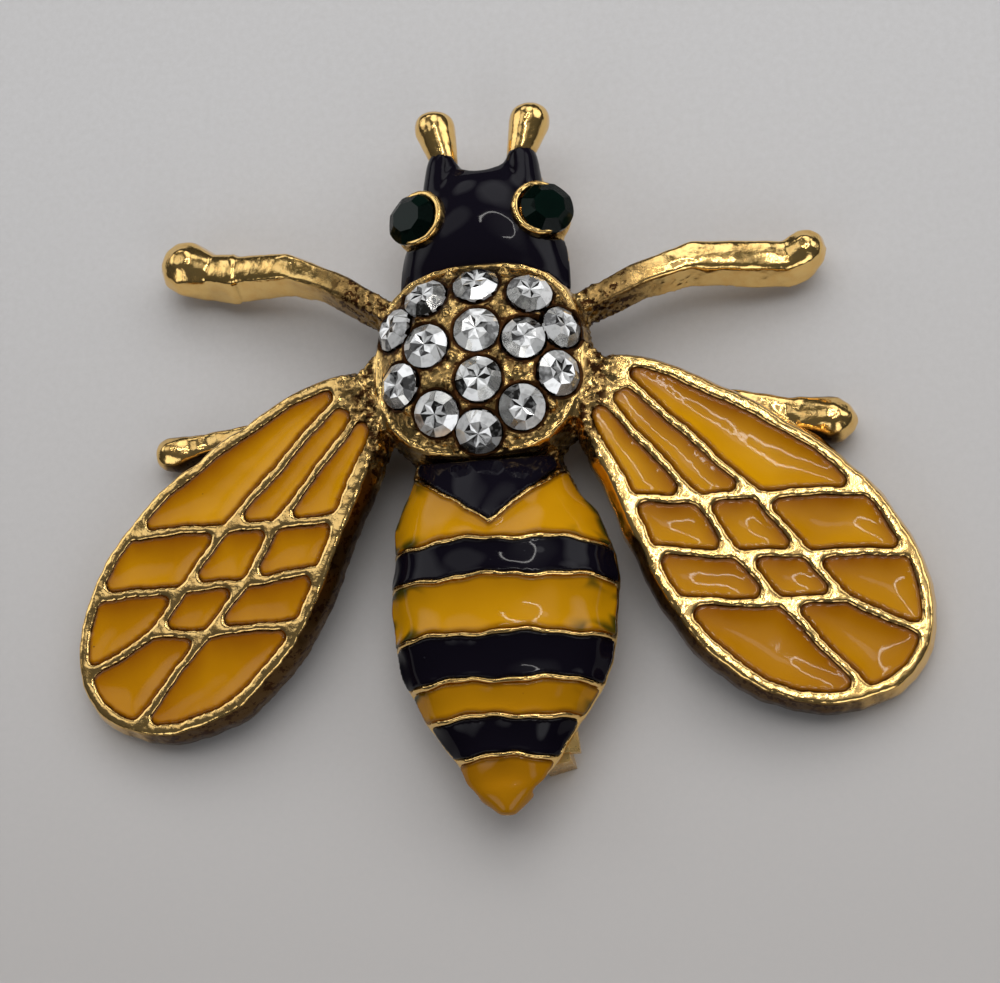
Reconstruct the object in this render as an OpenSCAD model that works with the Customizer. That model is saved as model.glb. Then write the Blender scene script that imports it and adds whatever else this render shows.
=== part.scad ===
// Bee brooch: a plated casting with enamel in its wings and body, cut stones and a pin fitting on its back.
// Millimetres. X runs across the wings, Y from tail to head, Z out of the face. The brooch lies on Z = 0.

/* [Thorax] */
// Width of the thorax
thorax_w = 11.7; // [9:0.1:14]
// Length of the thorax from head to waist
thorax_len = 11.5; // [9:0.1:14]
// Height of the thorax above the body's back
thorax_h = 4.4; // [3.4:0.1:6]
// Wall left over the hollow of the thorax
thorax_wall = 1.4; // [1.2:0.1:1.8]
// Radius of the small beads between the stones
bead_r = 0.33; // [0.2:0.01:0.45]

/* [Stones] */
// Radius of a clear stone at its girdle
stone_r = 1.15; // [0.8:0.01:1.16]
// Depth of a clear stone from its girdle to its point
stone_pavilion = 0.6; // [0.4:0.05:0.8]
// Radius of an eye stone at its girdle
eye_r = 1.38; // [0.9:0.01:1.5]
// Depth of an eye stone from its girdle to its point
eye_pavilion = 0.7; // [0.4:0.05:0.9]
// Height of a stone's crown as a share of its radius
crown_share = 0.36; // [0.25:0.01:0.5]
// Width of a stone's table as a share of its width
table_share = 0.56; // [0.4:0.01:0.7]

/* [Head] */
// Width of the head where it meets the thorax
head_w = 9.3; // [7:0.1:11]
// Length of the head in front of the thorax
head_len = 6.2; // [5:0.1:8]
// Radius of the notch between its horns
notch_r = 1.5; // [1:0.05:2]
// Height of the head above the body's back
head_h = 2.9; // [2.4:0.1:4]
// Distance from the centre line to the middle of an eye
eye_out = 3.75; // [3:0.05:4.5]
// Outward tilt of an eye
eye_tilt = 23; // [0:1:45]
// Radius of the knob at an antenna's end
knob_r = 1.07; // [0.7:0.01:1.4]
// Length of an antenna from its horn to its knob
antenna_len = 2.1; // [1:0.1:4]

/* [Abdomen] */
// Length of the abdomen from its hidden front to the tail
abdomen_len = 19.6; // [16:0.1:24]
// Width of the abdomen at its widest
abdomen_w = 11.9; // [9:0.1:15]
// Height of the abdomen above the body's back
abdomen_h = 3.9; // [3:0.1:5]
// Wall left over the hollow of the abdomen
abdomen_wall = 1.3; // [1.1:0.1:1.8]
// How far the abdomen bends to the right
abdomen_bend = 0.9; // [0:0.05:1.5]
// Width of the gold ridges between the bands
ridge_w = 0.34; // [0.2:0.01:0.6]
// Height of the gold border below the bands
border_h = 0.5; // [0.3:0.05:0.8]

/* [Wings] */
// Length of a wing from its root to its tip
wing_len = 22.5; // [19:0.1:27]
// Width of a wing, as the scale of its outline
wing_w = 12; // [10:0.1:14]
// Thickness of a wing at its rim
wing_t = 1.8; // [1.4:0.1:2.4]
// Angle of a wing back from straight out sideways
wing_sweep = 42; // [36:1:48]
// Angle at which a wing droops towards its tip
wing_droop = 9; // [6:1:12]
// Angle at which a wing's leading edge dips
wing_dip = 3.2; // [0:0.2:5]
// Width of the slope round a wing's edge
wing_bevel = 0.35; // [0.1:0.05:0.5]
// Width of the flat gold rim round the cells
rim_w = 0.6; // [0.3:0.05:0.8]
// Width of the veins between the cells
vein_w = 0.5; // [0.3:0.05:0.7]
// Radius of the cells' corners
cell_round = 0.35; // [0.1:0.05:0.5]

/* [Enamel] */
// Depth of the pockets that hold the enamel
enamel_t = 0.4; // [0.3:0.05:0.5]
// How far the wing enamel lies under its rim
enamel_sunk = 0.06; // [0:0.01:0.15]
// Gap round each piece that is set in the casting
set_gap = 0.03; // [0.02:0.01:0.06]

/* [Legs] */
// Height of a leg's bar
leg_h = 1.7; // [1.2:0.1:2.4]
// Half the width of a leg's bar at its base
leg_r = 1.1; // [0.8:0.05:1.4]
// Share of a leg's base width that its top keeps
leg_taper = 0.62; // [0.4:0.01:0.9]

/* [Pin] */
// Length of the bar behind the body
pin_len = 26.5; // [20:0.5:30]
// Width of the bar
pin_bar_w = 2.6; // [2:0.1:4]
// Thickness of the bar
pin_bar_t = 0.6; // [0.4:0.1:0.8]
// Diameter of the pin stem
pin_d = 0.9; // [0.6:0.1:1.2]
// Radius of the hinge's knuckle
knuckle_r = 1.15; // [0.9:0.05:1.2]
// Width of the catch
catch_w = 1.4; // [1:0.1:2]
// Turn of the whole fitting away from the centre line
pin_turn = 6.7; // [0:0.1:9]
// Height of the body's back above the surface that the brooch lies on
back_z = 2.6; // [2.4:0.1:3.4]

/* [Hidden] */
gold = "#d9b36a";
yellow = "#c98f12";
black = "#120f18";
clear = "#dfe6ea";
dark_green = "#0c2a22";
overlap = 1.6;
thorax_mid_y = 0.2;
waist_y = thorax_mid_y - thorax_len / 2;
neck_y = thorax_mid_y + thorax_len / 2;

// Thorax dome: how square its plan and its profile are
plan_power = 2.7;
profile_rise = 3.2;
profile_round = 2.4;
// Rings of the dome: share of its plan, height over its profile, which raises a rim below the stones
dome_rings = [
    [1, 0], [0.98, 0], [0.965, 0], [0.955, 0.5], [0.93, 0.5], [0.90, 0.05], [0.86, 0], [0.74, 0], [0.58, 0],
    [0.36, 0], [0.1, 0]
];

// Sections of the abdomen: share of its length, share of its width, share of its height
abdomen_sections = [
    [0.00, 0.66, 0.50], [0.08, 0.70, 0.66], [0.13, 0.77, 0.77], [0.22, 0.92, 0.92], [0.33, 0.99, 1.00],
    [0.45, 1.00, 0.98], [0.55, 0.97, 0.91], [0.65, 0.875, 0.79], [0.74, 0.725, 0.65], [0.81, 0.56, 0.53],
    [0.87, 0.42, 0.43], [0.93, 0.25, 0.32], [1.00, 0.03, 0.16]
];
// Ends of the eight bands as shares of the abdomen's length, from waist to tail
band_ends = [0.03, 0.255, 0.306, 0.406, 0.553, 0.671, 0.76, 0.857, 0.965];
band_colours = [black, yellow, black, yellow, black, yellow, black, yellow];
// How far forward the first band's end runs at the sides, as a share of the length, and its lowest angle
neck_point = 0.173;
neck_side = 22;
// Steps across a band, the angle it keeps free at its sides, and how far its enamel lies under the ridges
across = 12;
band_side = 2;
band_sunk = 0.05;
section_round = 0.85;
// The bend is complete at this share of the length
bend_share = 0.32;

// Sections of the head: share of its length, share of its width, share of its height
head_sections = [
    [-0.21, 1.00, 0.70], [0.00, 1.00, 0.80], [0.17, 0.98, 0.92], [0.38, 0.89, 1.00], [0.60, 0.80, 0.98],
    [0.77, 0.74, 0.88], [0.88, 0.70, 0.74], [1.00, 0.64, 0.55]
];
// Distance from the thorax to the bottom of the notch, as a share of the head's length
notch_share = 0.865;

// Outline of a wing: share of its length, share of its width, from the root round the leading edge
wing_points = [
    [0.00, 0.15], [0.07, 0.285], [0.19, 0.375], [0.39, 0.462], [0.575, 0.505], [0.76, 0.455], [0.915, 0.315],
    [1.01, 0.095], [1.018, -0.14], [0.945, -0.37], [0.795, -0.545], [0.61, -0.568], [0.42, -0.465],
    [0.22, -0.27], [0.04, -0.12]
];
// Cross veins: junctions at the leading rim, the two long veins and the trailing rim, as shares
vein_1 = [[0.638, 0.375], [0.486, 0.112], [0.392, -0.067], [0.264, -0.267]];
vein_2 = [[0.815, 0.311], [0.657, 0.049], [0.540, -0.147], [0.380, -0.379]];
vein_3 = [[0.963, 0.096], [0.787, 0.007], [0.686, -0.184], [0.502, -0.479]];
tip_junction = [0.960, -0.246];
fork_1 = [0.084, 0.139];
fork_2 = [0.071, 0.017];

// Depth of a stone's girdle under the dome
stone_sunk = 0.1;
// Places of the clear stones: share of the thorax's half width, share of its half length
stone_places = [
    [-0.455, 0.555], [0.015, 0.65], [0.51, 0.53], [0.79, 0.20], [-0.765, 0.295], [0.035, 0.165],
    [0.46, 0.065], [-0.43, 0.05], [0.05, -0.31], [0.76, -0.25], [-0.70, -0.28], [-0.345, -0.595],
    [0.43, -0.58], [0.025, -0.77]
];
// Places of the beads between the stones, as shares again
bead_places = [
    [-0.24, 0.37], [0.27, 0.37], [0.25, 0.80], [-0.24, 0.80], [0.25, -0.11], [-0.19, -0.05], [-0.22, -0.32],
    [0.41, -0.24], [-0.60, -0.52], [0.68, -0.55], [-0.19, -0.86], [0.24, -0.86], [0.74, 0.50], [-0.66, 0.60],
    [-0.50, 0.31], [0.58, 0.28]
];

// Stations of the legs: x, y, height of the underside, share of the leg's width, share of its height
left_front_leg = [
    [-4.6, 3.4, 2.4, 0.80, 1.00], [-8.5, 5.95, 2.3, 0.90, 1.00], [-11.0, 7.1, 2.1, 1.10, 1.00],
    [-14.6, 7.55, 1.2, 1.25, 0.95], [-16.0, 7.9, 0.8, 1.10, 0.95]
];
right_front_leg = [
    [4.6, 3.2, 2.4, 0.85, 1.00], [8.8, 5.1, 2.3, 1.00, 0.95], [11.2, 5.9, 2.1, 1.15, 0.90],
    [14.2, 5.9, 1.5, 1.25, 0.85], [16.3, 5.85, 1.0, 1.20, 0.90]
];
left_middle_leg = [
    [-5.5, -0.2, 2.2, 0.80, 1.00], [-12.5, -1.8, 0.8, 0.75, 0.85], [-16.9, -2.4, 0.5, 0.78, 0.75]
];
right_middle_leg = [
    [5.5, -0.2, 2.2, 0.80, 1.00], [12.5, -2.05, 0.8, 1.00, 0.90], [16.6, -2.85, 0.5, 1.15, 0.80]
];
// Ends of the legs: x, y, height of the centre, radius as a share of the leg's half width
left_front_foot = [-17.3, 8.3, 1.75, 1.36];
right_front_foot = [17.2, 6.4, 1.75, 1.13];
left_middle_foot = [-17.95, -2.5, 1.1, 0.87];
right_middle_foot = [18.2, -3.15, 1.2, 1.05];

wing_root = [5.2, -1.45];
antenna_root = [2.12, 0.4];
antenna_lean = 15;
antenna_r = 0.6;
horn_r = 1.1;
horn_rise = 1.15;
eye_y = neck_y + 0.445 * head_len;
eye_z = back_z + 0.78 * head_h;
collar_h = 1.3;
collar_lip = 0.12;
collar_flare = 0.16;
// The stone's underside rests on its collar's hole this far in from the girdle, so the collar ends below it
seat_edge = 0.2;
seat_drop = 0.06 + seat_edge * eye_pavilion / eye_r + set_gap;

CELLS = 11;
BANDS = len(band_ends) - 1;
STONES = len(stone_places);

// Curves and lookups
function spline(p, q, r, s, t) =
    0.5 * (2 * q + (r - p) * t + (2 * p - 5 * q + 4 * r - s) * t * t + (3 * q - p - 3 * r + s) * t * t * t);
function closed_curve(points, steps) =
    let (n = len(points))
    [for (i = [0:n - 1]) for (k = [0:steps - 1])
        spline(points[(i + n - 1) % n], points[i], points[(i + 1) % n], points[(i + 2) % n], k / steps)];
function row_at(table, share, row = 0) =
    row >= len(table) - 2 || table[row + 1][0] >= share ? row : row_at(table, share, row + 1);
// Column of a table at a share of the length, on a smooth curve through the rows
function smooth(table, column, share) =
    let (
        i = row_at(table, share),
        last = len(table) - 1,
        t = (share - table[i][0]) / (table[i + 1][0] - table[i][0])
    )
    spline(table[max(i - 1, 0)][column], table[i][column], table[i + 1][column],
        table[min(i + 2, last)][column], max(0, min(1, t)));
function past(from, to, reach) = to + (to - from) * reach;

// A solid through closed sections that all have the same number of points
module loft(sections) {
    n = len(sections[0]);
    last = len(sections) - 1;
    points = [for (section = sections) for (point = section) point];
    sides = [for (i = [0:last - 1]) for (j = [0:n - 1])
        let (a = i * n + j, b = i * n + (j + 1) % n, c = a + n, d = b + n) each [[a, d, b], [a, c, d]]];
    caps = [[for (j = [0:n - 1]) j], [for (j = [n - 1:-1:0]) last * n + j]];
    polyhedron(points = points, faces = concat(sides, caps), convexity = 6);
}
// A slab between two grids of points of the same size, split into the same triangles above and below
module slab(top, bottom) {
    rows = len(top);
    n = len(top[0]);
    under = rows * n;
    points = [for (grid = [top, bottom]) for (row = grid) for (point = row) point];
    skins = [for (i = [0:rows - 2]) for (j = [0:n - 2])
        let (a = i * n + j, b = a + 1, c = a + n, d = c + 1)
        each [[a, d, b], [a, c, d], [a + under, b + under, d + under], [a + under, d + under, c + under]]];
    ends = [for (j = [0:n - 2]) let (e = (rows - 1) * n + j)
        each [[j, j + 1, j + 1 + under, j + under], [e + 1, e, e + under, e + 1 + under]]];
    edges = [for (i = [0:rows - 2]) let (a = i * n, c = a + n, b = c - 1, d = b + n)
        each [[c, a, a + under, c + under], [b, d, d + under, b + under]]];
    polyhedron(points = points, faces = concat(skins, ends, edges), convexity = 6);
}

// Everything is modelled round the thorax, then moved so that the outline's middle is on the origin
tail_y = waist_y + overlap - abdomen_len;
antenna_y = neck_y + head_len + antenna_root[1];
front_y = antenna_y + antenna_len * cos(antenna_lean) + knob_r;
module placed() {
    translate([0, -(tail_y + front_y) / 2, 0]) children();
}

// Thorax
function dome_z(x, y, grow) =
    let (
        square = pow(abs(x) / (thorax_w / 2 + grow), plan_power)
            + pow(abs(y - thorax_mid_y) / (thorax_len / 2 + grow), plan_power),
        ring = min(1, pow(square, 1 / plan_power))
    )
    back_z + (thorax_h + grow) * pow(1 - pow(ring, profile_rise), 1 / profile_round);
function dome_ring(ring, grow, sides) =
    let (height = pow(max(0, 1 - pow(ring, profile_rise)), 1 / profile_round))
    [for (j = [0:sides - 1])
        let (
            a = 360 * j / sides,
            r = ring / pow(pow(abs(cos(a)), plan_power) + pow(abs(sin(a)), plan_power), 1 / plan_power)
        )
        [
            (thorax_w / 2 + grow) * r * cos(a),
            thorax_mid_y + (thorax_len / 2 + grow) * r * sin(a),
            back_z + (thorax_h + grow) * height
        ]];
module thorax_form(grow, sides = 28) {
    loft([for (row = dome_rings)
        [for (point = dome_ring(row[0], grow, sides)) point + [0, 0, row[1]]]]);
}

// Puts its children on the dome at a place given as shares, with their Z along the surface's normal
module on_dome(place, sink) {
    x = place[0] * thorax_w / 2;
    y = thorax_mid_y + place[1] * thorax_len / 2;
    step = 0.1;
    normal = [
        dome_z(x - step, y, 0) - dome_z(x + step, y, 0),
        dome_z(x, y - step, 0) - dome_z(x, y + step, 0),
        2 * step
    ];
    translate([x, y, dome_z(x, y, 0)])
        rotate([0, acos(normal[2] / norm(normal)), atan2(normal[1], normal[0])])
            translate([0, 0, -sink]) children();
}
module thorax_cast() {
    thorax_form(0);
    for (place = bead_places) on_dome(place, 0) sphere(r = bead_r, $fn = 6);
}
// The holes that the stones sit in, their flats clear of the girdle
module stone_seats() {
    sides = 14;
    for (place = stone_places) on_dome(place, stone_pavilion + stone_sunk + set_gap)
        cylinder(r = (stone_r + set_gap) / cos(180 / sides), h = 3, $fn = sides);
}

// Cut stone with its girdle on Z = 0: a table, stars, kites and girdle facets over a pointed pavilion
module cut_stone(r, pavilion, sides = 8) {
    crown = crown_share * r;
    edge = 0.06;
    function ring(radius, z, count, turn) =
        [for (j = [0:count - 1]) [radius * cos(360 * (j + turn) / count), radius * sin(360 * (j + turn) / count), z]];
    table = 0;
    stars = sides;
    girdle = 2 * sides;
    lower = 4 * sides;
    point = 6 * sides;
    function next(j, count) = (j + 1) % count;
    polyhedron(
        points = concat(
            ring(table_share * r, crown, sides, 0),
            ring(0.5 * (1 + table_share) * r, 0.58 * crown, sides, 0.5),
            ring(r, 0, 2 * sides, 0),
            ring(r, -edge, 2 * sides, 0),
            [[0, 0, -pavilion]]
        ),
        faces = concat(
            [[for (j = [sides - 1:-1:0]) table + j]],
            [for (j = [0:sides - 1]) [table + j, table + next(j, sides), stars + j]],
            [for (j = [0:sides - 1]) let (k = next(j, sides))
                each [[stars + j, table + k, girdle + 2 * k], [stars + k, girdle + 2 * k, table + k]]],
            [for (j = [0:sides - 1]) let (k = next(j, sides)) each [
                [stars + j, girdle + 2 * j + 1, girdle + 2 * j],
                [stars + j, girdle + 2 * k, girdle + 2 * j + 1]]],
            [for (j = [0:2 * sides - 1]) let (k = next(j, 2 * sides))
                each [[girdle + j, girdle + k, lower + k], [girdle + j, lower + k, lower + j]]],
            [for (j = [0:2 * sides - 1]) [lower + j, lower + next(j, 2 * sides), point]]
        )
    );
}
module thorax_stone(index) {
    color(clear) placed() on_dome(stone_places[index], stone_sunk) cut_stone(stone_r, stone_pavilion);
}

// Abdomen: a surface given by the share along it, the angle across it and the depth under it
function abdomen_point(share, angle, depth) =
    let (
        half = max(0.02, smooth(abdomen_sections, 1, share) * abdomen_w / 2 - depth),
        high = max(0.02, smooth(abdomen_sections, 2, share) * abdomen_h - depth),
        bend = abdomen_bend * min(1, pow(max(0, share) / bend_share, 1.2))
    )
    [
        bend + half * cos(angle),
        waist_y + overlap - share * abdomen_len,
        back_z + high * pow(sin(angle), section_round)
    ];
// Where a band's end lies at an angle, and a share of the way from a band's start to its end
function band_end(index, angle) = band_ends[index] - (index == 1 ? neck_point * abs(cos(angle)) : 0);
function band_share(index, angle, s, gap) =
    let (
        from = band_end(index, angle) + ((index == 0 ? 0 : ridge_w / 2) + gap) / abdomen_len,
        to = band_end(index + 1, angle) - (ridge_w / 2 + gap) / abdomen_len
    )
    from + (to - from) * s;
// The angle at which the gold border ends and a band begins
function border_angle(share) =
    asin(min(0.9, pow(border_h / (smooth(abdomen_sections, 2, share) * abdomen_h), 1 / section_round)));
function band_angle(index, s) = index == 0 ? neck_side : border_angle(band_share(index, 0, s, 0));
function band_rows(index) = index < 2 ? 4 : 2;
// A row of the casting: its border at full height, and the floor of the bands at a depth between
function cast_row(index, s, depth, shift) =
    let (low = band_angle(index, s), steps = across + 4)
    [for (j = [0:steps])
        let (
            angle = j == 0 ? 0 : j == steps ? 180 : j == 1 ? low - 1 : j == steps - 1 ? 181 - low
                : low + (180 - 2 * low) * (j - 2) / across,
            inside = j > 1 && j < steps - 1
        )
        abdomen_point(band_share(index, angle, s, 0) + shift / abdomen_len, angle, inside ? depth : 0)];
module abdomen_cast() {
    slope = 0.05;
    front_end = 0.4;
    tail_end = (1 - band_ends[BANDS]) * abdomen_len + ridge_w / 2;
    loft(concat(
        [cast_row(0, 0, 0, -front_end)],
        [for (i = [0:BANDS - 1]) each concat(
            [cast_row(i, 0, 0, -slope)],
            [for (s = [0:band_rows(i)]) cast_row(i, s / band_rows(i), enamel_t, 0)],
            [cast_row(i, 1, 0, slope)]
        )],
        [cast_row(BANDS - 1, 1, 0, tail_end)]
    ));
}
module abdomen_hollow() {
    shares = [0, 0.1, 0.18, 0.33, 0.5, 0.62, 0.74, 0.84];
    steps = 9;
    below = [0, 0, 1];
    loft([for (share = shares) concat(
        [for (j = [0:steps]) abdomen_point(share, 180 * j / steps, abdomen_wall)],
        [abdomen_point(share, 180, abdomen_wall) - below, abdomen_point(share, 0, abdomen_wall) - below]
    )]);
}
// One band's enamel, a slab between the pocket's floor and just under the ridges, with a gap all round
module band_form(index) {
    rows = band_rows(index);
    function skin(depth) =
        [for (i = [0:rows]) [for (j = [0:across])
            let (
                s = i / rows,
                low = band_angle(index, s),
                edge = j == 0 ? band_side : j == across ? -band_side : 0,
                angle = low + (180 - 2 * low) * j / across + edge
            )
            abdomen_point(band_share(index, angle, s, set_gap), angle, depth)]];
    slab(skin(band_sunk), skin(enamel_t - set_gap));
}
module abdomen_enamel(index) {
    if (index == 0) color(band_colours[index]) placed() difference() {
        band_form(index);
        thorax_form(2 * set_gap);
    }
    else color(band_colours[index]) placed() band_form(index);
}

// Head, with a horn under each antenna
function head_point(share, angle, depth) =
    [
        (smooth(head_sections, 1, share) * head_w / 2 - depth) * cos(angle),
        neck_y + share * head_len - (share >= 1 ? depth : 0),
        back_z + (smooth(head_sections, 2, share) * head_h - depth) * pow(sin(angle), section_round)
    ];
module head_form(depth) {
    steps = 12;
    horn_y = neck_y + head_len - 2;
    difference() {
        union() {
            loft([for (i = [len(head_sections) - 1:-1:0])
                [for (j = [0:steps]) head_point(head_sections[i][0], 180 * j / steps, depth)]]);
            for (side = [-1, 1]) hull() {
                translate([side * (antenna_root[0] + 0.2), horn_y, back_z + horn_rise])
                    sphere(r = horn_r - depth, $fn = 10);
                translate([side * (antenna_root[0] + 0.1), antenna_y - 0.2, back_z + horn_rise])
                    sphere(r = horn_r - depth - 0.2, $fn = 10);
            }
        }
        translate([0, neck_y + notch_share * head_len + notch_r, 0])
            cylinder(r = notch_r + depth, h = back_z + head_h, $fn = 20);
    }
}
module antenna(side, grow) {
    translate([side * antenna_root[0], antenna_y, back_z + horn_rise])
        rotate([0, 0, -side * antenna_lean]) hull() {
            translate([0, -0.4, 0]) sphere(r = antenna_r + grow, $fn = 10);
            translate([0, antenna_len, 0]) sphere(r = knob_r + grow, $fn = 12);
        }
}
module at_eye(side) {
    translate([side * eye_out, eye_y, eye_z]) rotate([0, side * eye_tilt, 0]) children();
}
// The collar carries the stone's underside on the edge of its hole
module eye_collar(side, grow) {
    at_eye(side) translate([0, 0, -collar_h - seat_drop - grow])
        cylinder(r1 = eye_r + collar_lip + collar_flare + grow, r2 = eye_r + collar_lip + grow,
            h = collar_h + 2 * grow, $fn = 18);
}
module head_cast() {
    head_form(enamel_t);
    intersection() {
        head_form(0);
        translate([-head_w, 0, back_z]) cube([2 * head_w, neck_y + 2 * head_len, border_h]);
    }
    for (side = [-1, 1]) antenna(side, 0);
}
module eyes_cast() {
    difference() {
        for (side = [-1, 1]) eye_collar(side, 0);
        for (side = [-1, 1]) at_eye(side) translate([0, 0, -eye_pavilion - 0.2])
            cylinder(r = eye_r - seat_edge, h = 3, $fn = 18);
    }
}
module head_enamel() {
    color(black) placed() difference() {
        head_form(0);
        head_form(enamel_t - set_gap);
        translate([-head_w, 0, 0]) cube([2 * head_w, neck_y + 2 * head_len, back_z + border_h + set_gap]);
        thorax_form(2 * set_gap);
        for (side = [-1, 1]) antenna(side, set_gap);
        for (side = [-1, 1]) eye_collar(side, set_gap);
    }
}
module eye_stone(side) {
    color(dark_green) placed() at_eye(side) cut_stone(eye_r, eye_pavilion);
}

// Wings, in their own frame: X from root to tip, Y towards the leading edge, Z = 0 on the rim
wing_outline = closed_curve([for (p = wing_points) [p[0] * wing_len, p[1] * wing_w]], 3);
function wing_fall(p, z) =
    -sin(wing_droop) * p[0] + cos(wing_droop) * (z * cos(wing_dip) - p[1] * sin(wing_dip));
wing_z = -min([for (p = wing_outline) wing_fall(p, -wing_t)]);
cell_corners = [
    [fork_1, vein_1[1], past(vein_1[1], vein_1[0], 0.6), [0.30, 0.62], [0.00, 0.30]],
    [fork_1, vein_1[1], vein_1[2], fork_2],
    [fork_2, vein_1[2], past(vein_1[2], vein_1[3], 0.8), [0.10, -0.30], [0.055, -0.16]],
    [vein_1[1], past(vein_1[1], vein_1[0], 0.6), past(vein_2[1], vein_2[0], 0.6), vein_2[1]],
    [vein_1[1], vein_1[2], vein_2[2], vein_2[1]],
    [vein_1[2], past(vein_1[2], vein_1[3], 0.8), past(vein_2[2], vein_2[3], 0.8), vein_2[2]],
    [vein_2[1], past(vein_2[1], vein_2[0], 0.6), past(vein_3[1], vein_3[0], 0.5), vein_3[1]],
    [vein_2[1], vein_2[2], vein_3[2], vein_3[1]],
    [vein_2[2], past(vein_2[2], vein_2[3], 0.8), past(vein_3[2], vein_3[3], 0.5), vein_3[2]],
    [vein_3[1], past(vein_3[1], vein_3[0], 0.5), past(vein_3[2], tip_junction, 0.4), vein_3[2]],
    [vein_3[2], past(vein_3[2], tip_junction, 0.4), [0.80, -0.80], past(vein_3[2], vein_3[3], 0.5)]
];
module on_wing(side) {
    mirror([side < 0 ? 1 : 0, 0, 0]) translate([wing_root[0], wing_root[1], wing_z])
        rotate([0, 0, -wing_sweep]) rotate([-wing_dip, wing_droop, 0]) children();
}
module cell_shape(index, gap) {
    offset(r = cell_round, $fn = 12) offset(delta = -cell_round) intersection() {
        offset(delta = -vein_w / 2 - gap)
            polygon([for (p = cell_corners[index]) [p[0] * wing_len, p[1] * wing_w]]);
        offset(delta = -wing_bevel - rim_w - gap) polygon(wing_outline);
    }
}
module wing_cast(side) {
    skin = 0.01;
    on_wing(side) {
        difference() {
            hull() {
                translate([0, 0, -wing_t]) linear_extrude(wing_t / 2) polygon(wing_outline);
                translate([0, 0, -skin]) linear_extrude(skin) offset(delta = -wing_bevel) polygon(wing_outline);
            }
            for (i = [0:CELLS - 1]) translate([0, 0, -enamel_t - enamel_sunk])
                linear_extrude(1) cell_shape(i, 0);
        }
        translate([-2.4, -0.13 * wing_w, -wing_t]) cube([3.6, 0.3 * wing_w, wing_t - 0.2]);
    }
}
module wing_cell(side, index) {
    color(yellow) placed() on_wing(side) translate([0, 0, -enamel_t - enamel_sunk + set_gap])
        linear_extrude(enamel_t - set_gap) cell_shape(index, set_gap);
}

// Legs: drafted bars from station to station, with a round end
module leg_station(row) {
    translate([row[0], row[1], row[2]])
        cylinder(r1 = leg_r * row[3], r2 = leg_r * leg_taper * row[3], h = leg_h * row[4], $fn = 8);
}
module leg(stations, foot) {
    for (i = [0:len(stations) - 2]) hull() {
        leg_station(stations[i]);
        leg_station(stations[i + 1]);
    }
    hull() {
        leg_station(stations[len(stations) - 1]);
        translate([foot[0], foot[1], foot[2]]) sphere(r = leg_r * foot[3], $fn = 10);
    }
}

// The one-piece casting, hollow behind the thorax and the abdomen
module casting() {
    color(gold) placed() {
        difference() {
            union() {
                thorax_cast();
                abdomen_cast();
                head_cast();
                eyes_cast();
                for (side = [-1, 1]) wing_cast(side);
                leg(left_front_leg, left_front_foot);
                leg(right_front_leg, right_front_foot);
                leg(left_middle_leg, left_middle_foot);
                leg(right_middle_leg, right_middle_foot);
            }
            stone_seats();
            abdomen_hollow();
            translate([0, 0, -0.01]) thorax_form(-thorax_wall, 18);
        }
    }
}

// The fitting on the back: a bar with a hinge knuckle at the head and a catch at the tail, and the pin between
module pin_back() {
    top = back_z - set_gap;
    stem_z = pin_d / 2 + 0.05;
    hinge_y = -1.2 - knuckle_r;
    catch_y = catch_w / 2 - pin_len;
    color(gold) placed() translate([0.2, neck_y, 0]) rotate([0, 0, pin_turn]) {
        translate([-pin_bar_w / 2, -pin_len, top - pin_bar_t]) cube([pin_bar_w, pin_len, pin_bar_t]);
        translate([-pin_bar_w / 2, hinge_y, knuckle_r]) rotate([0, 90, 0])
            cylinder(r = knuckle_r, h = pin_bar_w, $fn = 24);
        translate([-pin_bar_w / 2, hinge_y - knuckle_r, knuckle_r])
            cube([pin_bar_w, 2 * knuckle_r, top - knuckle_r - pin_bar_t / 2]);
        translate([0, hinge_y, stem_z]) rotate([90, 0, 0])
            cylinder(d = pin_d, h = hinge_y - catch_y, $fn = 16);
        translate([-catch_w / 2, catch_y - catch_w, 0]) cube([catch_w, 1.2 * catch_w, top - pin_bar_t / 2]);
    }
}

casting();
pin_back();
head_enamel();
eye_stone(-1);  // left_eye_stone
eye_stone(1);  // right_eye_stone
for (i = [1:BANDS]) abdomen_enamel(i - 1);
for (i = [1:CELLS]) wing_cell(-1, i - 1);
for (i = [1:CELLS]) wing_cell(1, i - 1);
for (i = [1:STONES]) thorax_stone(i - 1);
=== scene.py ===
"""Bee brooch of gilt cast metal with enamel, cut stones and a pin fitting, lying on a pale floor."""
import logging
import math
from dataclasses import dataclass
from enum import Enum
from typing import Callable

import bpy
import numpy as np
from mathutils import Matrix, Vector, kdtree


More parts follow.
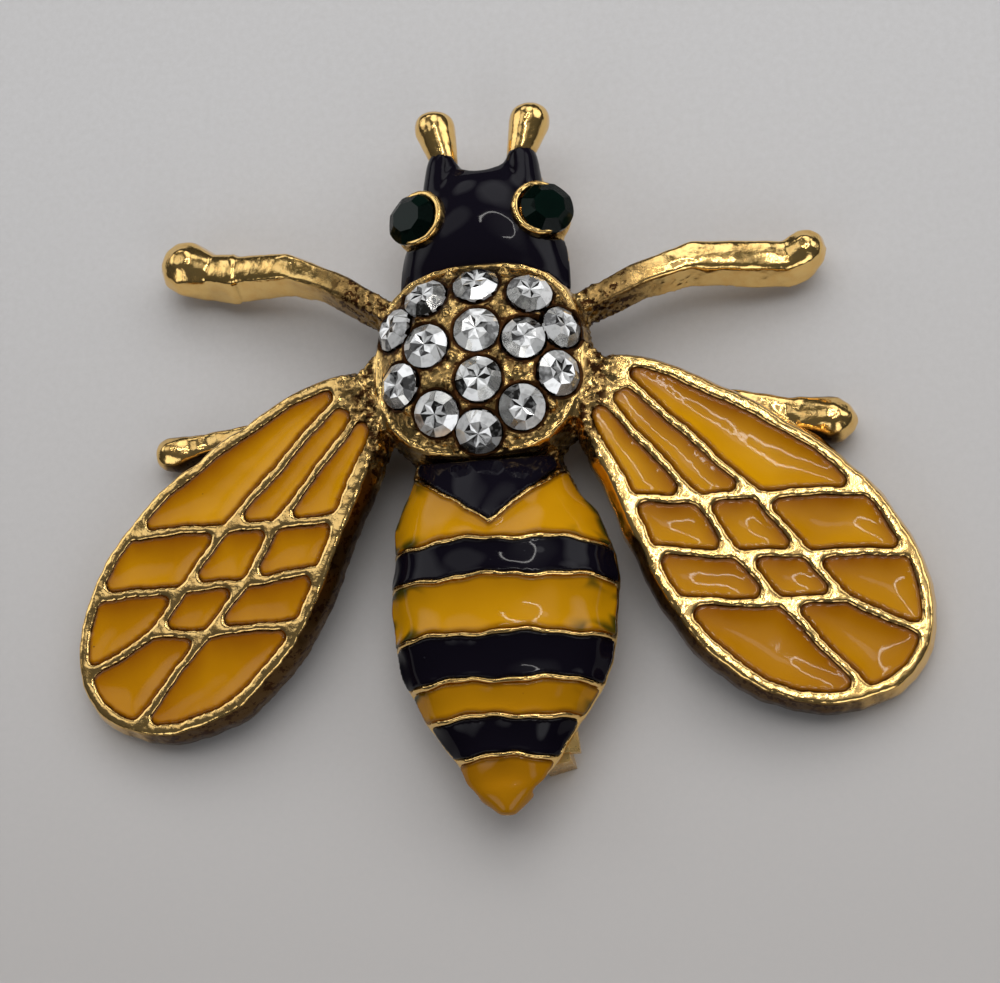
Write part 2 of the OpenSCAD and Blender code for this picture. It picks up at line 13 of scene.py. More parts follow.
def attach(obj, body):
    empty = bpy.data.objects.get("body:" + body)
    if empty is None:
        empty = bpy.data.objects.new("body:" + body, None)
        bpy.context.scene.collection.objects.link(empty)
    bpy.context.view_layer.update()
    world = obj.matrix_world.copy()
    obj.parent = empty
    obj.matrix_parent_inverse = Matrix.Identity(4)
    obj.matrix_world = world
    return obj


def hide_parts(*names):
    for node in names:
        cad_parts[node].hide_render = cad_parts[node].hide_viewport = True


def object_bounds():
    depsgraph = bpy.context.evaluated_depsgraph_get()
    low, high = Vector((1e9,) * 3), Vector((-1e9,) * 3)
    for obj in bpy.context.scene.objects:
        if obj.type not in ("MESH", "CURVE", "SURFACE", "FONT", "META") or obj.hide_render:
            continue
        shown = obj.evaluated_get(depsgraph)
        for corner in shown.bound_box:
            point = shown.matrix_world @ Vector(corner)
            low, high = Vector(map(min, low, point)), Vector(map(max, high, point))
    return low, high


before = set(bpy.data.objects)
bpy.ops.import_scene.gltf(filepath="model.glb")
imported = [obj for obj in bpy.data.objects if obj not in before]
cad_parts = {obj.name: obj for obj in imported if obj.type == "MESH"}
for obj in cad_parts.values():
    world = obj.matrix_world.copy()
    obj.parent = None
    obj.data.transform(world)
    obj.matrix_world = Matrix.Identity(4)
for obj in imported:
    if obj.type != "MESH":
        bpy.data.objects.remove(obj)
CAD_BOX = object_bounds()
MM = 0.001
LOG = logging.getLogger("brooch")
Colour = tuple[float, float, float]
Range = tuple[float, float]
Plane = tuple[Vector, Vector]
MERGE_DISTANCE = 0.001 * MM
THORAX_CENTRE = (0.0, 4.15 * MM)
THORAX_HALF = (5.85 * MM, 5.75 * MM)
THORAX_POWER = 2.7
ABDOMEN_X = 0.9 * MM
BELLY_EDGE: Range = (6.9, 6.3)


# Working on one mesh
def select_only(piece: bpy.types.Object) -> None:
    """Leave this object alone selected and active.

    Args:
        piece: The object to work on.
    """
    bpy.ops.object.select_all(action="DESELECT")
    piece.select_set(True)
    bpy.context.view_layer.objects.active = piece


def edit(piece: bpy.types.Object, work: Callable[[], None]) -> None:
    """Run edit mode operators on all of a mesh.

    Args:
        piece: The mesh object.
        work: Calls the operators, with everything selected at its start.
    """
    select_only(piece)
    bpy.ops.object.mode_set(mode="EDIT")
    bpy.ops.mesh.select_all(action="SELECT")
    work()
    bpy.ops.object.mode_set(mode="OBJECT")


def edit_where(piece: bpy.types.Object, chosen: Callable[[bpy.types.MeshPolygon], bool],
               work: Callable[[], None]) -> None:
    """Run edit mode operators on some of a mesh's faces.

    Args:
        piece: The mesh object.
        chosen: Tells whether a face is worked on.
        work: Calls the operators, with those faces selected at its start.
    """
    select_only(piece)
    bpy.ops.object.mode_set(mode="EDIT")
    bpy.ops.mesh.select_mode(type="FACE")
    bpy.ops.mesh.select_all(action="DESELECT")
    bpy.ops.object.mode_set(mode="OBJECT")
    for face in piece.data.polygons:
        face.select = chosen(face)
    bpy.ops.object.mode_set(mode="EDIT")
    work()
    bpy.ops.object.mode_set(mode="OBJECT")


def apply(piece: bpy.types.Object, kind: str, **settings: object) -> None:
    """Add a modifier, set it and apply it.

    Args:
        piece: The mesh object.
        kind: The modifier's type.
        settings: Its properties by name.
    """
    select_only(piece)
    modifier = piece.modifiers.new(kind.lower(), kind)
    for name, value in settings.items():
        setattr(modifier, name, value)
    bpy.ops.object.modifier_apply(modifier=modifier.name)


def copy_of_node(node: str, name: str) -> bpy.types.Object:
    """Copy a node's mesh into a new object with its loose triangles merged.

    Args:
        node: The node to copy.
        name: The new object's name.

    Returns:
        The new object.
    """
    piece = bpy.data.objects.new(name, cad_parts[node].data.copy())
    bpy.context.scene.collection.objects.link(piece)
    piece.data.materials.clear()

    def merge() -> None:
        """Merge the doubles and turn the faces outwards."""
        bpy.ops.mesh.remove_doubles(threshold=MERGE_DISTANCE)
        bpy.ops.mesh.normals_make_consistent(inside=False)

    edit(piece, merge)
    return piece


def cut_away(piece: bpy.types.Object, plane: Plane) -> None:
    """Cut off what lies on the far side of a plane and close the cut.

    Args:
        piece: The mesh object.
        plane: A point on the plane and its normal, which points at what goes.
    """

    def cut() -> None:
        """Cut all of the mesh."""
        bpy.ops.mesh.bisect(plane_co=plane[0], plane_no=plane[1], use_fill=True, clear_outer=True)

    edit(piece, cut)


def points_of(piece: bpy.types.Object) -> np.ndarray:
    """Read a mesh's points.

    Args:
        piece: The mesh object.

    Returns:
        One row of x, y and z for each point, in metres.
    """
    values = np.empty(len(piece.data.vertices) * 3, np.float32)
    piece.data.vertices.foreach_get("co", values)
    return values.reshape(-1, 3).astype(float)


def move_points(piece: bpy.types.Object, points: np.ndarray) -> None:
    """Write a mesh's points back, kept inside the frame's box.

    Args:
        piece: The mesh object.
        points: One row for each point.
    """
    low, high = (np.array(corner, float) for corner in CAD_BOX)
    piece.data.vertices.foreach_set("co", np.clip(points, low, high).astype(np.float32).ravel())
    piece.data.update()


def normals_of(piece: bpy.types.Object) -> np.ndarray:
    """Read the normals at a mesh's points.

    Args:
        piece: The mesh object.

    Returns:
        One unit row for each point.
    """
    values = np.empty(len(piece.data.vertices) * 3, np.float32)
    piece.data.vertex_normals.foreach_get("vector", values)
    return values.reshape(-1, 3).astype(float)


def paint(piece: bpy.types.Object, name: str, values: np.ndarray) -> None:
    """Keep a value at each point for the materials to read.

    Args:
        piece: The mesh object.
        name: The attribute's name.
        values: One number for each point.
    """
    layer = piece.data.attributes.new(name, "FLOAT", "POINT")
    layer.data.foreach_set("value", values.astype(np.float32))


def weigh(piece: bpy.types.Object, name: str, weights: np.ndarray, levels: int = 16) -> str:
    """Keep weights as a vertex group, in a few levels.

    Args:
        piece: The mesh object.
        name: The group's name.
        weights: One number from 0 to 1 for each point.
        levels: How many levels the weights are rounded to.

    Returns:
        The group's name.
    """
    group = piece.vertex_groups.new(name=name)
    steps = np.rint(np.clip(weights, 0.0, 1.0) * levels).astype(int)
    for step in range(1, levels + 1):
        group.add(np.flatnonzero(steps == step).tolist(), step / levels, "REPLACE")
    return name


def neighbour_mean(piece: bpy.types.Object, values: np.ndarray, rounds: int,
                   among: np.ndarray | None = None) -> np.ndarray:
    """Average values over the mesh's edges.

    Args:
        piece: The mesh object.
        values: One row for each point.
        rounds: How often the average is taken.
        among: True for each point that counts, or None where all do.

    Returns:
        The smoothed rows.
    """
    count = len(piece.data.vertices)
    pairs = np.empty(len(piece.data.edges) * 2, np.int32)
    piece.data.edges.foreach_get("vertices", pairs)
    pairs = pairs.reshape(-1, 2)
    if among is not None:
        pairs = pairs[among[pairs].all(axis=1)]
    one, other = pairs.T
    shared = (np.bincount(one, minlength=count) + np.bincount(other, minlength=count))[:, None]
    for _ in range(rounds):
        total = np.column_stack([
            np.bincount(one, column[other], count) + np.bincount(other, column[one], count)
            for column in values.T
        ])
        values = np.where(shared > 0, 0.5 * values + 0.5 * total / np.maximum(shared, 1), values)
    return values


def hollows(piece: bpy.types.Object, rounds: int) -> np.ndarray:
    """Measure how deep each point lies in a groove.

    Args:
        piece: The mesh object.
        rounds: How wide the grooves are that count, in edges.

    Returns:
        Millimetres under the mean of the surface, below zero on ridges.
    """
    points = points_of(piece)
    return ((neighbour_mean(piece, points, rounds) - points) * normals_of(piece)).sum(axis=1) / MM


def ramp(values: np.ndarray, start: float, end: float) -> np.ndarray:
    """Rise smoothly from 0 at start to 1 at end.

    Args:
        values: The numbers to look up.
        start: Where the rise starts.
        end: Where it ends, which may be below start.

    Returns:
        One share for each value.
    """
    share = np.clip((values - start) / (end - start), 0.0, 1.0)
    return share * share * (3.0 - 2.0 * share)


def thorax_ring(points: np.ndarray) -> np.ndarray:
    """Tell how far out points lie from the thorax's middle, as 1 at its edge.

    Args:
        points: One row for each point.

    Returns:
        One share for each point.
    """
    share = np.abs(points[:, :2] - THORAX_CENTRE) / THORAX_HALF
    return (share ** THORAX_POWER).sum(axis=1) ** (1.0 / THORAX_POWER)


@dataclass(frozen=True)
class Patch:
    """A patch of the brooch, by the ranges in millimetres from where its weight starts to where it is full.

    Out counts from the middle to both sides, across from left to right, along towards the head, and height
    from the floor up.
    """

    out: tuple[Range, ...] = ()
    across: tuple[Range, ...] = ()
    along: tuple[Range, ...] = ()
    height: tuple[Range, ...] = ()

    def share(self, points: np.ndarray) -> np.ndarray:
        """Weigh how much points belong to the patch.

        Args:
            points: One row for each point.

        Returns:
            One share for each point.
        """
        across, along, height = (points / MM).T
        weight = np.ones(len(points))
        measures = (np.abs(across), across, along, height)
        for values, ranges in zip(measures, (self.out, self.across, self.along, self.height)):
            for start, end in ranges:
                weight *= ramp(values, start, end)
        return weight


class Place(Enum):
    """The places that are shaped or coloured apart."""

    HEAD = Patch(out=((5.4, 5.0),), along=((8.0, 8.4), (15.6, 15.2)))
    HORNS = Patch(along=((13.4, 14.4),))
    ANTENNAE = Patch(out=((3.9, 3.6),), along=((15.5, 16.1), (19.45, 18.9)))
    ANTENNA_ROOTS = Patch(along=((16.9, 16.0),))
    FRONT_LEGS = Patch(out=((5.5, 7.5),), along=((3.8, 4.6),))
    FRONT_LEG_ROOTS = Patch(out=((10.5, 7.5), (5.0, 5.4)), along=((4.6, 5.4),))
    LEFT_LEG_END = Patch(across=((-10.4, -11.2),))
    LEFT_FOOT = Patch(across=((-14.15, -14.35),), along=((7.0, 8.0),))
    MIDDLE_LEG_ENDS = Patch(out=((14.0, 15.0),))
    THORAX_SIDE = Patch(along=((9.6, 8.4),), height=((6.6, 6.0),))
    WING_SIDES = Patch(along=((5.0, 3.0),), height=((0.35, 0.8),))
    SWAYING = Patch(out=((22.7, 21.0),), along=((4.5, 2.5), (-19.5, -18.5)))
    NECK_TOP = Patch(along=((-3.0, -2.2),))
    TAIL_SIDES = Patch(along=((-16.9, -18.3),))
    TAIL_TIP = Patch(along=((-17.7, -18.4),))
    TAIL_END = Patch(along=((-18.5, -19.3),))
    CATCH_IN_SIGHT = Patch(across=((2.6, 3.4),), along=((-14.0, -14.6),))

    def share(self, points: np.ndarray) -> np.ndarray:
        """Weigh how much points belong to the place."""
        return self.value.share(points)


def belly(points: np.ndarray, rise: Range) -> np.ndarray:
    """Weigh the abdomen.

    Args:
        points: One row for each point.
        rise: Where the weight rises behind the thorax, in millimetres along the body.

    Returns:
        One share for each point.
    """
    aside = np.abs(points[:, 0] / MM - ABDOMEN_X / MM)
    return ramp(aside, *BELLY_EDGE) * ramp(points[:, 1] / MM, *rise)


@dataclass(frozen=True)
class Wave:
    """One wave of the outlines, with its height in millimetres and its angles in radians a millimetre."""

    height: float
    across: float
    along: float
    start: float = 0.0

    def at(self, points: np.ndarray) -> np.ndarray:
        """Tell how high the wave is at each point."""
        turn = self.across * (points[:, 0] / MM) + self.along * (points[:, 1] / MM) + self.start
        return self.height * np.sin(turn)


@dataclass(frozen=True)
class Sway:
    """Outlines that wander as in a hand-cut mould, alike on all the pieces that meet."""

    aside: tuple[Wave, ...] = (Wave(0.05, -0.9, 1.5), Wave(0.02, 1.9, 4.1, 0.7))
    ahead: tuple[Wave, ...] = (Wave(0.05, 1.3, 0.8, 1.0), Wave(0.02, 3.7, -1.6))
    more_on_belly: float = 0.8
    belly_rise: Range = (-0.5, -1.5)
    past_thorax: Range = (1.05, 1.4)

    def move(self, points: np.ndarray) -> np.ndarray:
        """Move points, least at the thorax, the head and the ends of the brooch.

        Args:
            points: One row for each point.

        Returns:
            The moved rows.
        """
        free = ramp(thorax_ring(points), *self.past_thorax) * Place.SWAYING.share(points)
        more = 1.0 + self.more_on_belly * belly(points, self.belly_rise)
        moved = points.copy()
        moved[:, 0] += free * sum(wave.at(points) for wave in self.aside) * MM
        moved[:, 1] += free * more * sum(wave.at(points) for wave in self.ahead) * MM
        return moved


def table_of(node: str) -> tuple[Vector, Vector]:
    """Find where a stone's table lies and which way it faces.

    Args:
        node: The stone's node.

    Returns:
        The table's centre and normal.
    """
    groups: dict[tuple[float, ...], list[bpy.types.MeshPolygon]] = {}
    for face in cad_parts[node].data.polygons:
        groups.setdefault(tuple(round(value, 2) for value in face.normal), []).append(face)
    table = max((faces for faces in groups.values() if faces[0].normal.z > 0.1),
                key=lambda faces: sum(face.area for face in faces))
    area = sum(face.area for face in table)
    centre = sum((face.center * face.area for face in table), Vector()) / area
    return centre, table[0].normal.copy()


def hand_over(piece: bpy.types.Object, slot: str, *nodes: str) -> None:
    """Attach a finished piece to the root body, hide the nodes that it stands for, and log its triangles and
    slot.

    Args:
        piece: The finished object.
        slot: The record's material slot.
        nodes: The nodes that it replaces.
    """
    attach(piece, "root")
    if nodes:
        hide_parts(*nodes)
    piece.data.calc_loop_triangles()
    LOG.info("%s: %d triangles, %s", piece.name, len(piece.data.loop_triangles), slot)


# Shader effects that more than one finish uses
class Nodes:
    """A node tree with short ways to add nodes and links."""

    def __init__(self, tree: bpy.types.NodeTree) -> None:
        """Keep the tree that nodes are added to."""
        self.tree = tree

    def add(self, kind: str, settings: dict[str, object] | None = None, **inputs: object) -> bpy.types.Node:
        """Add one node.

        Args:
            kind: The node's type, without its ShaderNode prefix.
            settings: The node's own properties by name.
            inputs: Values or output sockets, by input name with underscores for spaces.

        Returns:
            The new node.
        """
        node = self.tree.nodes.new("ShaderNode" + kind)
        for name, value in (settings or {}).items():
            setattr(node, name, value)
        for name, value in inputs.items():
            self.feed(node, name.replace("_", " "), value)
        return node

    def feed(self, node: bpy.types.Node, name: str, value: object) -> None:
        """Set or link one input.

        Args:
            node: The node that has the input.
            name: The input's name, or its number as text.
            value: A plain value or an output socket.
        """
        socket = node.inputs[int(name)] if name.isdigit() else node.inputs[name]
        if isinstance(value, bpy.types.NodeSocket):
            self.tree.links.new(value, socket)
        else:
            socket.default_value = value

    def maths(self, operation: str, *values: object, clamp: bool = False) -> bpy.types.NodeSocket:
        """Work out one number.

        Args:
            operation: The Math node's operation.
            values: Its inputs in order.
            clamp: True to keep the result from 0 to 1.

        Returns:
            The result's socket.
        """
        node = self.add("Math", {"operation": operation, "use_clamp": clamp})
        for number, value in enumerate(values):
            self.feed(node, str(number), value)
        return node.outputs[0]

    def noise(self, where: object, scale: float, detail: float = 2.0, rough: float = 0.5) \
            -> bpy.types.NodeSocket:
        """Add noise on a place.

        Args:
            where: The socket that gives the place, in metres.
            scale: Waves in a metre.
            detail: Octaves.
            rough: How strong the fine octaves are.

        Returns:
            A socket from 0 to 1.
        """
        node = self.add("TexNoise", None, Vector=where, Scale=scale, Detail=detail, Roughness=rough)
        return node.outputs[0]

    def spread(self, value: object, low: float, high: float, to_low: float = 0.0, to_high: float = 1.0) \
            -> bpy.types.NodeSocket:
        """Map a range on another one, clamped.

        Args:
            value: The socket to map.
            low: Start of the range.
            high: End of the range.
            to_low: What the start becomes.
            to_high: What the end becomes.

        Returns:
            The mapped socket.
        """
        node = self.add("MapRange", {"clamp": True})
        for number, entry in enumerate((value, low, high, to_low, to_high)):
            self.feed(node, str(number), entry)
        return node.outputs[0]

    def blend(self, share: object, first: object, second: object) -> bpy.types.NodeSocket:
        """Mix two colours.

        Args:
            share: How much of the second.
            first: A colour or socket.
            second: A colour or socket.

        Returns:
            The mixed colour's socket.
        """
        node = self.add("Mix", {"data_type": "RGBA"})
        for number, entry in ((0, share), (6, first), (7, second)):
            self.feed(node, str(number), entry if not isinstance(entry, tuple) else (*entry, 1.0))
        return node.outputs[2]

    def coordinate(self, where: object, axis: str) -> bpy.types.NodeSocket:
        """Take one coordinate, X, Y or Z, out of a place or a direction."""
        return self.add("SeparateXYZ", None, Vector=where).outputs[axis]

    def bump(self, shader: bpy.types.Node, height: object, distance: float) -> None:
        """Bend a shader's normal by a height, which is as high as the distance where it is 1."""
        bump = self.add("Bump", None, Height=height, Strength=1.0, Distance=distance)
        self.feed(shader, "Normal", bump.outputs[0])

    def attribute(self, name: str) -> bpy.types.NodeSocket:
        """Read a value that is kept at each point."""
        return self.add("Attribute", {"attribute_name": name}).outputs["Fac"]

    def place(self) -> bpy.types.NodeSocket:
        """Read the place on the object, in metres."""
        return self.add("TexCoord").outputs["Object"]


def shader_group(name: str, inputs: dict[str, float], outputs: dict[str, str]) \
        -> tuple[bpy.types.NodeTree, Nodes, bpy.types.Node, bpy.types.Node]:
    """Start a node group with named sockets.

    Args:
        name: The group's name.
        inputs: Number inputs with their usual values.
        outputs: Outputs with their socket types.

    Returns:
        The tree, its node helper, its input node and its output node.
    """
    tree = bpy.data.node_groups.new(name, "ShaderNodeTree")
    for label, value in inputs.items():
        socket = tree.interface.new_socket(label, in_out="INPUT", socket_type="NodeSocketFloat")
        socket.default_value = value
    for label, kind in outputs.items():
        tree.interface.new_socket(label, in_out="OUTPUT", socket_type=kind)
    nodes = Nodes(tree)
    return tree, nodes, tree.nodes.new("NodeGroupInput"), tree.nodes.new("NodeGroupOutput")


def cast_skin_group() -> bpy.types.NodeTree:
    """Build the lumps, pits and scratches of a cast and plated surface.

    Returns:
        A group that gives a height and a mask of dull spots.
    """
    tree, nodes, given, result = shader_group(
        "cast skin",
        {"Lumps": 1.0, "Grain": 1.0},
        {"Height": "NodeSocketFloat", "Dull": "NodeSocketFloat"},
    )
    place = nodes.place()
    lumps = nodes.maths("MULTIPLY", nodes.noise(place, scale=900.0), given.outputs["Lumps"])
    ripple = nodes.noise(place, scale=3200.0, detail=3.0, rough=0.6)
    ripple = nodes.maths("MULTIPLY", ripple, given.outputs["Grain"])
    spots = nodes.noise(place, scale=1500.0, detail=4.0, rough=0.65)
    nodes.feed(result, "Height", nodes.maths("MULTIPLY_ADD", ripple, 0.3, lumps))
    nodes.feed(result, "Dull", nodes.spread(spots, low=0.42, high=0.7))
    return tree


def poured_group() -> bpy.types.NodeTree:
    """Build the shading of poured enamel: painted shade at its walls, under its wall on the head's side and
    towards the tail, with flow marks and specks.

    Returns:
        A group that gives masks of painted shade, of the wall's painted shadow and of specks, and a height.
    """
    tree, nodes, given, result = shader_group(
        "poured enamel",
        {"Upper": 1.0, "Edge": 1.0, "Bright until": 0.0, "Deep from": -0.01},
        {"Deep": "NodeSocketFloat", "Wall": "NodeSocketFloat", "Speck": "NodeSocketFloat",
         "Height": "NodeSocketFloat"},
    )
    place = nodes.place()
    from_rim = nodes.attribute("edge")
    under_wall = nodes.attribute("upper")
    # Painted shade: darker under the wall on the head's side and near the rim, and more so towards the tail.
    uneven = nodes.maths("MULTIPLY_ADD", nodes.noise(place, scale=380.0), 0.5, under_wall)
    upper = nodes.spread(uneven, low=0.3, high=1.15)
    rim = nodes.spread(from_rim, low=0.02, high=0.3, to_low=1.0, to_high=0.0)
    deep = nodes.maths(
        "MAXIMUM",
        nodes.maths("MULTIPLY", upper, given.outputs["Upper"]),
        nodes.maths("MULTIPLY", rim, given.outputs["Edge"]),
        clamp=True,
    )
    bright_until, deep_from = given.outputs["Bright until"], given.outputs["Deep from"]
    low = nodes.spread(nodes.coordinate(place, "Y"), bright_until, deep_from, to_high=0.6)
    deep = nodes.maths("MULTIPLY_ADD", nodes.maths("SUBTRACT", 1.0, deep), low, deep)
    # Painted shadow: a dark line along the wall, strongest under the wall on the head's side.
    wall = nodes.maths("MULTIPLY", nodes.spread(from_rim, low=0.02, high=0.2, to_low=1.0, to_high=0.0),
                       nodes.spread(under_wall, low=0.45, high=0.95, to_low=0.35))
    speck = nodes.spread(nodes.noise(place, scale=2600.0, detail=1.0), low=0.8, high=0.84)
    nodes.feed(result, "Deep", deep)
    nodes.feed(result, "Wall", nodes.maths("MULTIPLY", wall, given.outputs["Edge"]))
    nodes.feed(result, "Speck", speck)
    nodes.feed(result, "Height", nodes.noise(place, scale=420.0, detail=1.0))
    return tree


@dataclass
class Effects:
    """The shader groups, built once."""

    cast_skin: bpy.types.NodeTree
    poured: bpy.types.NodeTree

    @classmethod
    def build(cls) -> "Effects":
        """Build each group once."""
        return cls(cast_skin_group(), poured_group())


def new_material(name: str) -> tuple[bpy.types.Material, Nodes, bpy.types.Node]:
    """Start a material.

    Args:
        name: The material's name.

    Returns:
        The material, its node helper and its Principled shader.
    """
    material = bpy.data.materials.new(name)
    material.use_nodes = True
    nodes = Nodes(material.node_tree)
    return material, nodes, material.node_tree.nodes["Principled BSDF"]


# Finishes
@dataclass(frozen=True)
class PlatedGold:
    """Pale gold plating that is polished on its high parts, browned by tarnish, and browned by painted shade
    in its grooves and corners.
    """

    name: str = "plated_gold"
    bright: Colour = (0.94, 0.63, 0.23)
    warm: Colour = (0.85, 0.49, 0.14)
    brown: Colour = (0.045, 0.018, 0.006)
    roughness: float = 0.085
    lumps: float = 1.0
    grain: float = 1.0
    bump: float = 0.05 * MM
    groove: Range = (0.012, 0.09)
    spots: Range = (0.35, 0.56)
    duller: float = 0.12
    browner_rough: float = 0.25

    def material(self, effects: Effects) -> bpy.types.Material:
        """Make the material.

        Args:
            effects: The shared shader groups.

        Returns:
            The material.
        """
        material, nodes, shader = new_material(self.name)
        skin = nodes.add("Group", {"node_tree": effects.cast_skin}, Lumps=self.lumps, Grain=self.grain)
        spots = nodes.noise(nodes.place(), scale=2400.0, detail=3.0, rough=0.7)
        # Brown is laid where the painted shade marks grooves, the wings' inner walls, the stones' seams and
        # the roots, and in spots over the tarnish and the painted shade.
        tarnish_and_shade_spots = nodes.maths("MULTIPLY", nodes.attribute("tarnish_and_shade"), nodes.spread(spots, *self.spots))
        groove = nodes.spread(nodes.attribute("hollow"), *self.groove)
        dark = nodes.maths("MAXIMUM", groove, tarnish_and_shade_spots, clamp=True)
        gilt = nodes.blend(nodes.spread(skin.outputs["Dull"], 0.0, 1.0, to_high=0.6), self.bright, self.warm)
        nodes.feed(shader, "Base Color", nodes.blend(dark, gilt, self.brown))
        rough = nodes.maths("MULTIPLY_ADD", skin.outputs["Dull"], self.duller, self.roughness)
        nodes.feed(shader, "Roughness", nodes.maths("MULTIPLY_ADD", dark, self.browner_rough, rough))
        shader.inputs["Metallic"].default_value = 1.0
        nodes.bump(shader, skin.outputs["Height"], self.bump)
        return material


@dataclass(frozen=True)
class Enamel:
    """Glossy poured enamel with painted shade along its walls, under its wall on the head's side and towards
    the tail.
    """

    name: str
    body: Colour
    # The colours of the painted shade and of the painted shadow along the walls.
    deep: Colour
    wall: Colour
    speck: Colour
    bleed: Colour = (0.02, 0.03, 0.004)
    roughness: float = 0.05
    ior: float = 1.52
    specular: float = 0.2
    upper: float = 1.0
    edge: float = 1.0
    bright_until: float = 2 * MM
    deep_from: float = -14 * MM
    bump: float = 0.012 * MM

    def material(self, effects: Effects) -> bpy.types.Material:
        """Make the material.

        Args:
            effects: The shared shader groups.

        Returns:
            The material.
        """
        material, nodes, shader = new_material(self.name)
        poured = nodes.add("Group", {"node_tree": effects.poured}, Upper=self.upper, Edge=self.edge,
                           Bright_until=self.bright_until, Deep_from=self.deep_from)
        # The painted shade and the painted shadow are mixed into the enamel's colour.
        colour = nodes.blend(poured.outputs["Deep"], self.body, self.deep)
        colour = nodes.blend(poured.outputs["Wall"], colour, self.wall)
        colour = nodes.blend(nodes.attribute("bleed"), colour, self.bleed)
        nodes.feed(shader, "Base Color", nodes.blend(poured.outputs["Speck"], colour, self.speck))
        shader.inputs["Roughness"].default_value = self.roughness
        shader.inputs["IOR"].default_value = self.ior
        shader.inputs["Specular IOR Level"].default_value = self.specular
        nodes.bump(shader, poured.outputs["Height"], self.bump)
        return material


@dataclass(frozen=True)
class ClearGlass:
    """Clear cut glass over foil, with painted reflections: some facets painted white and others black."""

    name: str = "clear_glass"
    white: Colour = (0.95, 0.96, 0.96)
    black: Colour = (0.012, 0.011, 0.010)
    roughness: float = 0.1
    silvering: float = 0.35
    clearness: float = 0.12
    ior: float = 1.56
    coat_roughness: float = 0.02
    streak: float = 0.25

    def material(self) -> bpy.types.Material:
        """Make the material.

        Returns:
            The material.
        """
        material, nodes, shader = new_material(self.name)
        # Painted reflections: each facet's glint, a little streaked, sets its colour between black and
        # white.
        flow = nodes.noise(nodes.place(), scale=2600.0)
        streaks = nodes.spread(flow, low=0.36, high=0.64, to_low=-self.streak, to_high=self.streak)
        glint = nodes.maths("ADD", nodes.attribute("glint"), streaks, clamp=True)
        nodes.feed(shader, "Base Color", nodes.blend(glint, self.black, self.white))
        shader.inputs["Roughness"].default_value = self.roughness
        shader.inputs["Metallic"].default_value = self.silvering
        shader.inputs["Transmission Weight"].default_value = self.clearness
        shader.inputs["IOR"].default_value = self.ior
        shader.inputs["Coat Weight"].default_value = 1.0
        shader.inputs["Coat Roughness"].default_value = self.coat_roughness
        return material


@dataclass(frozen=True)
class Foil:
    """Worn silver foil on a stone's back."""

    name: str = "silver_foil"
    silver: Colour = (0.75, 0.74, 0.7)
    shine: float = 0.9
    roughness: Range = (0.1, 0.35)

    def material(self) -> bpy.types.Material:
        """Make the material.

        Returns:
            The material.
        """
        material, nodes, shader = new_material(self.name)
        worn = nodes.noise(nodes.place(), scale=1400.0, detail=3.0)
        nodes.feed(shader, "Roughness", nodes.spread(worn, 0.35, 0.7, *self.roughness))
        shader.inputs["Base Color"].default_value = (*self.silver, 1.0)
        shader.inputs["Metallic"].default_value = self.shine
        return material


@dataclass(frozen=True)
class DarkGlass:
    """Cut glass so dark a green that it looks black."""

    name: str = "dark_glass"
    tint: Colour = (0.0008, 0.0035, 0.0025)
    glow: Colour = (0.0015, 0.009, 0.006)
    roughness: float = 0.05
    ior: float = 1.56
    specular: float = 0.14

    def material(self) -> bpy.types.Material:
        """Make the material.

        Returns:
            The material.
        """
        material, nodes, shader = new_material(self.name)
        smoke = nodes.noise(nodes.place(), scale=500.0)
        nodes.feed(shader, "Base Color", nodes.blend(smoke, self.tint, self.glow))
        shader.inputs["Roughness"].default_value = self.roughness
        shader.inputs["IOR"].default_value = self.ior
        shader.inputs["Specular IOR Level"].default_value = self.specular
        return material


# The gilt casting
class Section(Enum):
    """The parts of the casting that are dressed apart: name, limits across the wings and voxel size."""

    LEFT_WING = ("left_wing_gilt", -30.0, -5.4, 0.104)
    BODY = ("body_gilt", -5.4, 7.0, 0.127)
    RIGHT_WING = ("right_wing_gilt", 7.0, 30.0, 0.104)


class Relief(Enum):
    """What roughens the casting: the texture's kind, its features' size, its depth and its vertex group."""

    LUMPS = ("CLOUDS", 1.1 * MM, 0.05 * MM, "")
    RIPPLES = ("CLOUDS", 0.4 * MM, 0.02 * MM, "")
    HAMMER_MARKS = ("VORONOI", 1.9 * MM, 0.14 * MM, "legs")
    ROUGH_SIDE = ("CLOUDS", 0.3 * MM, 0.32 * MM, "rough")


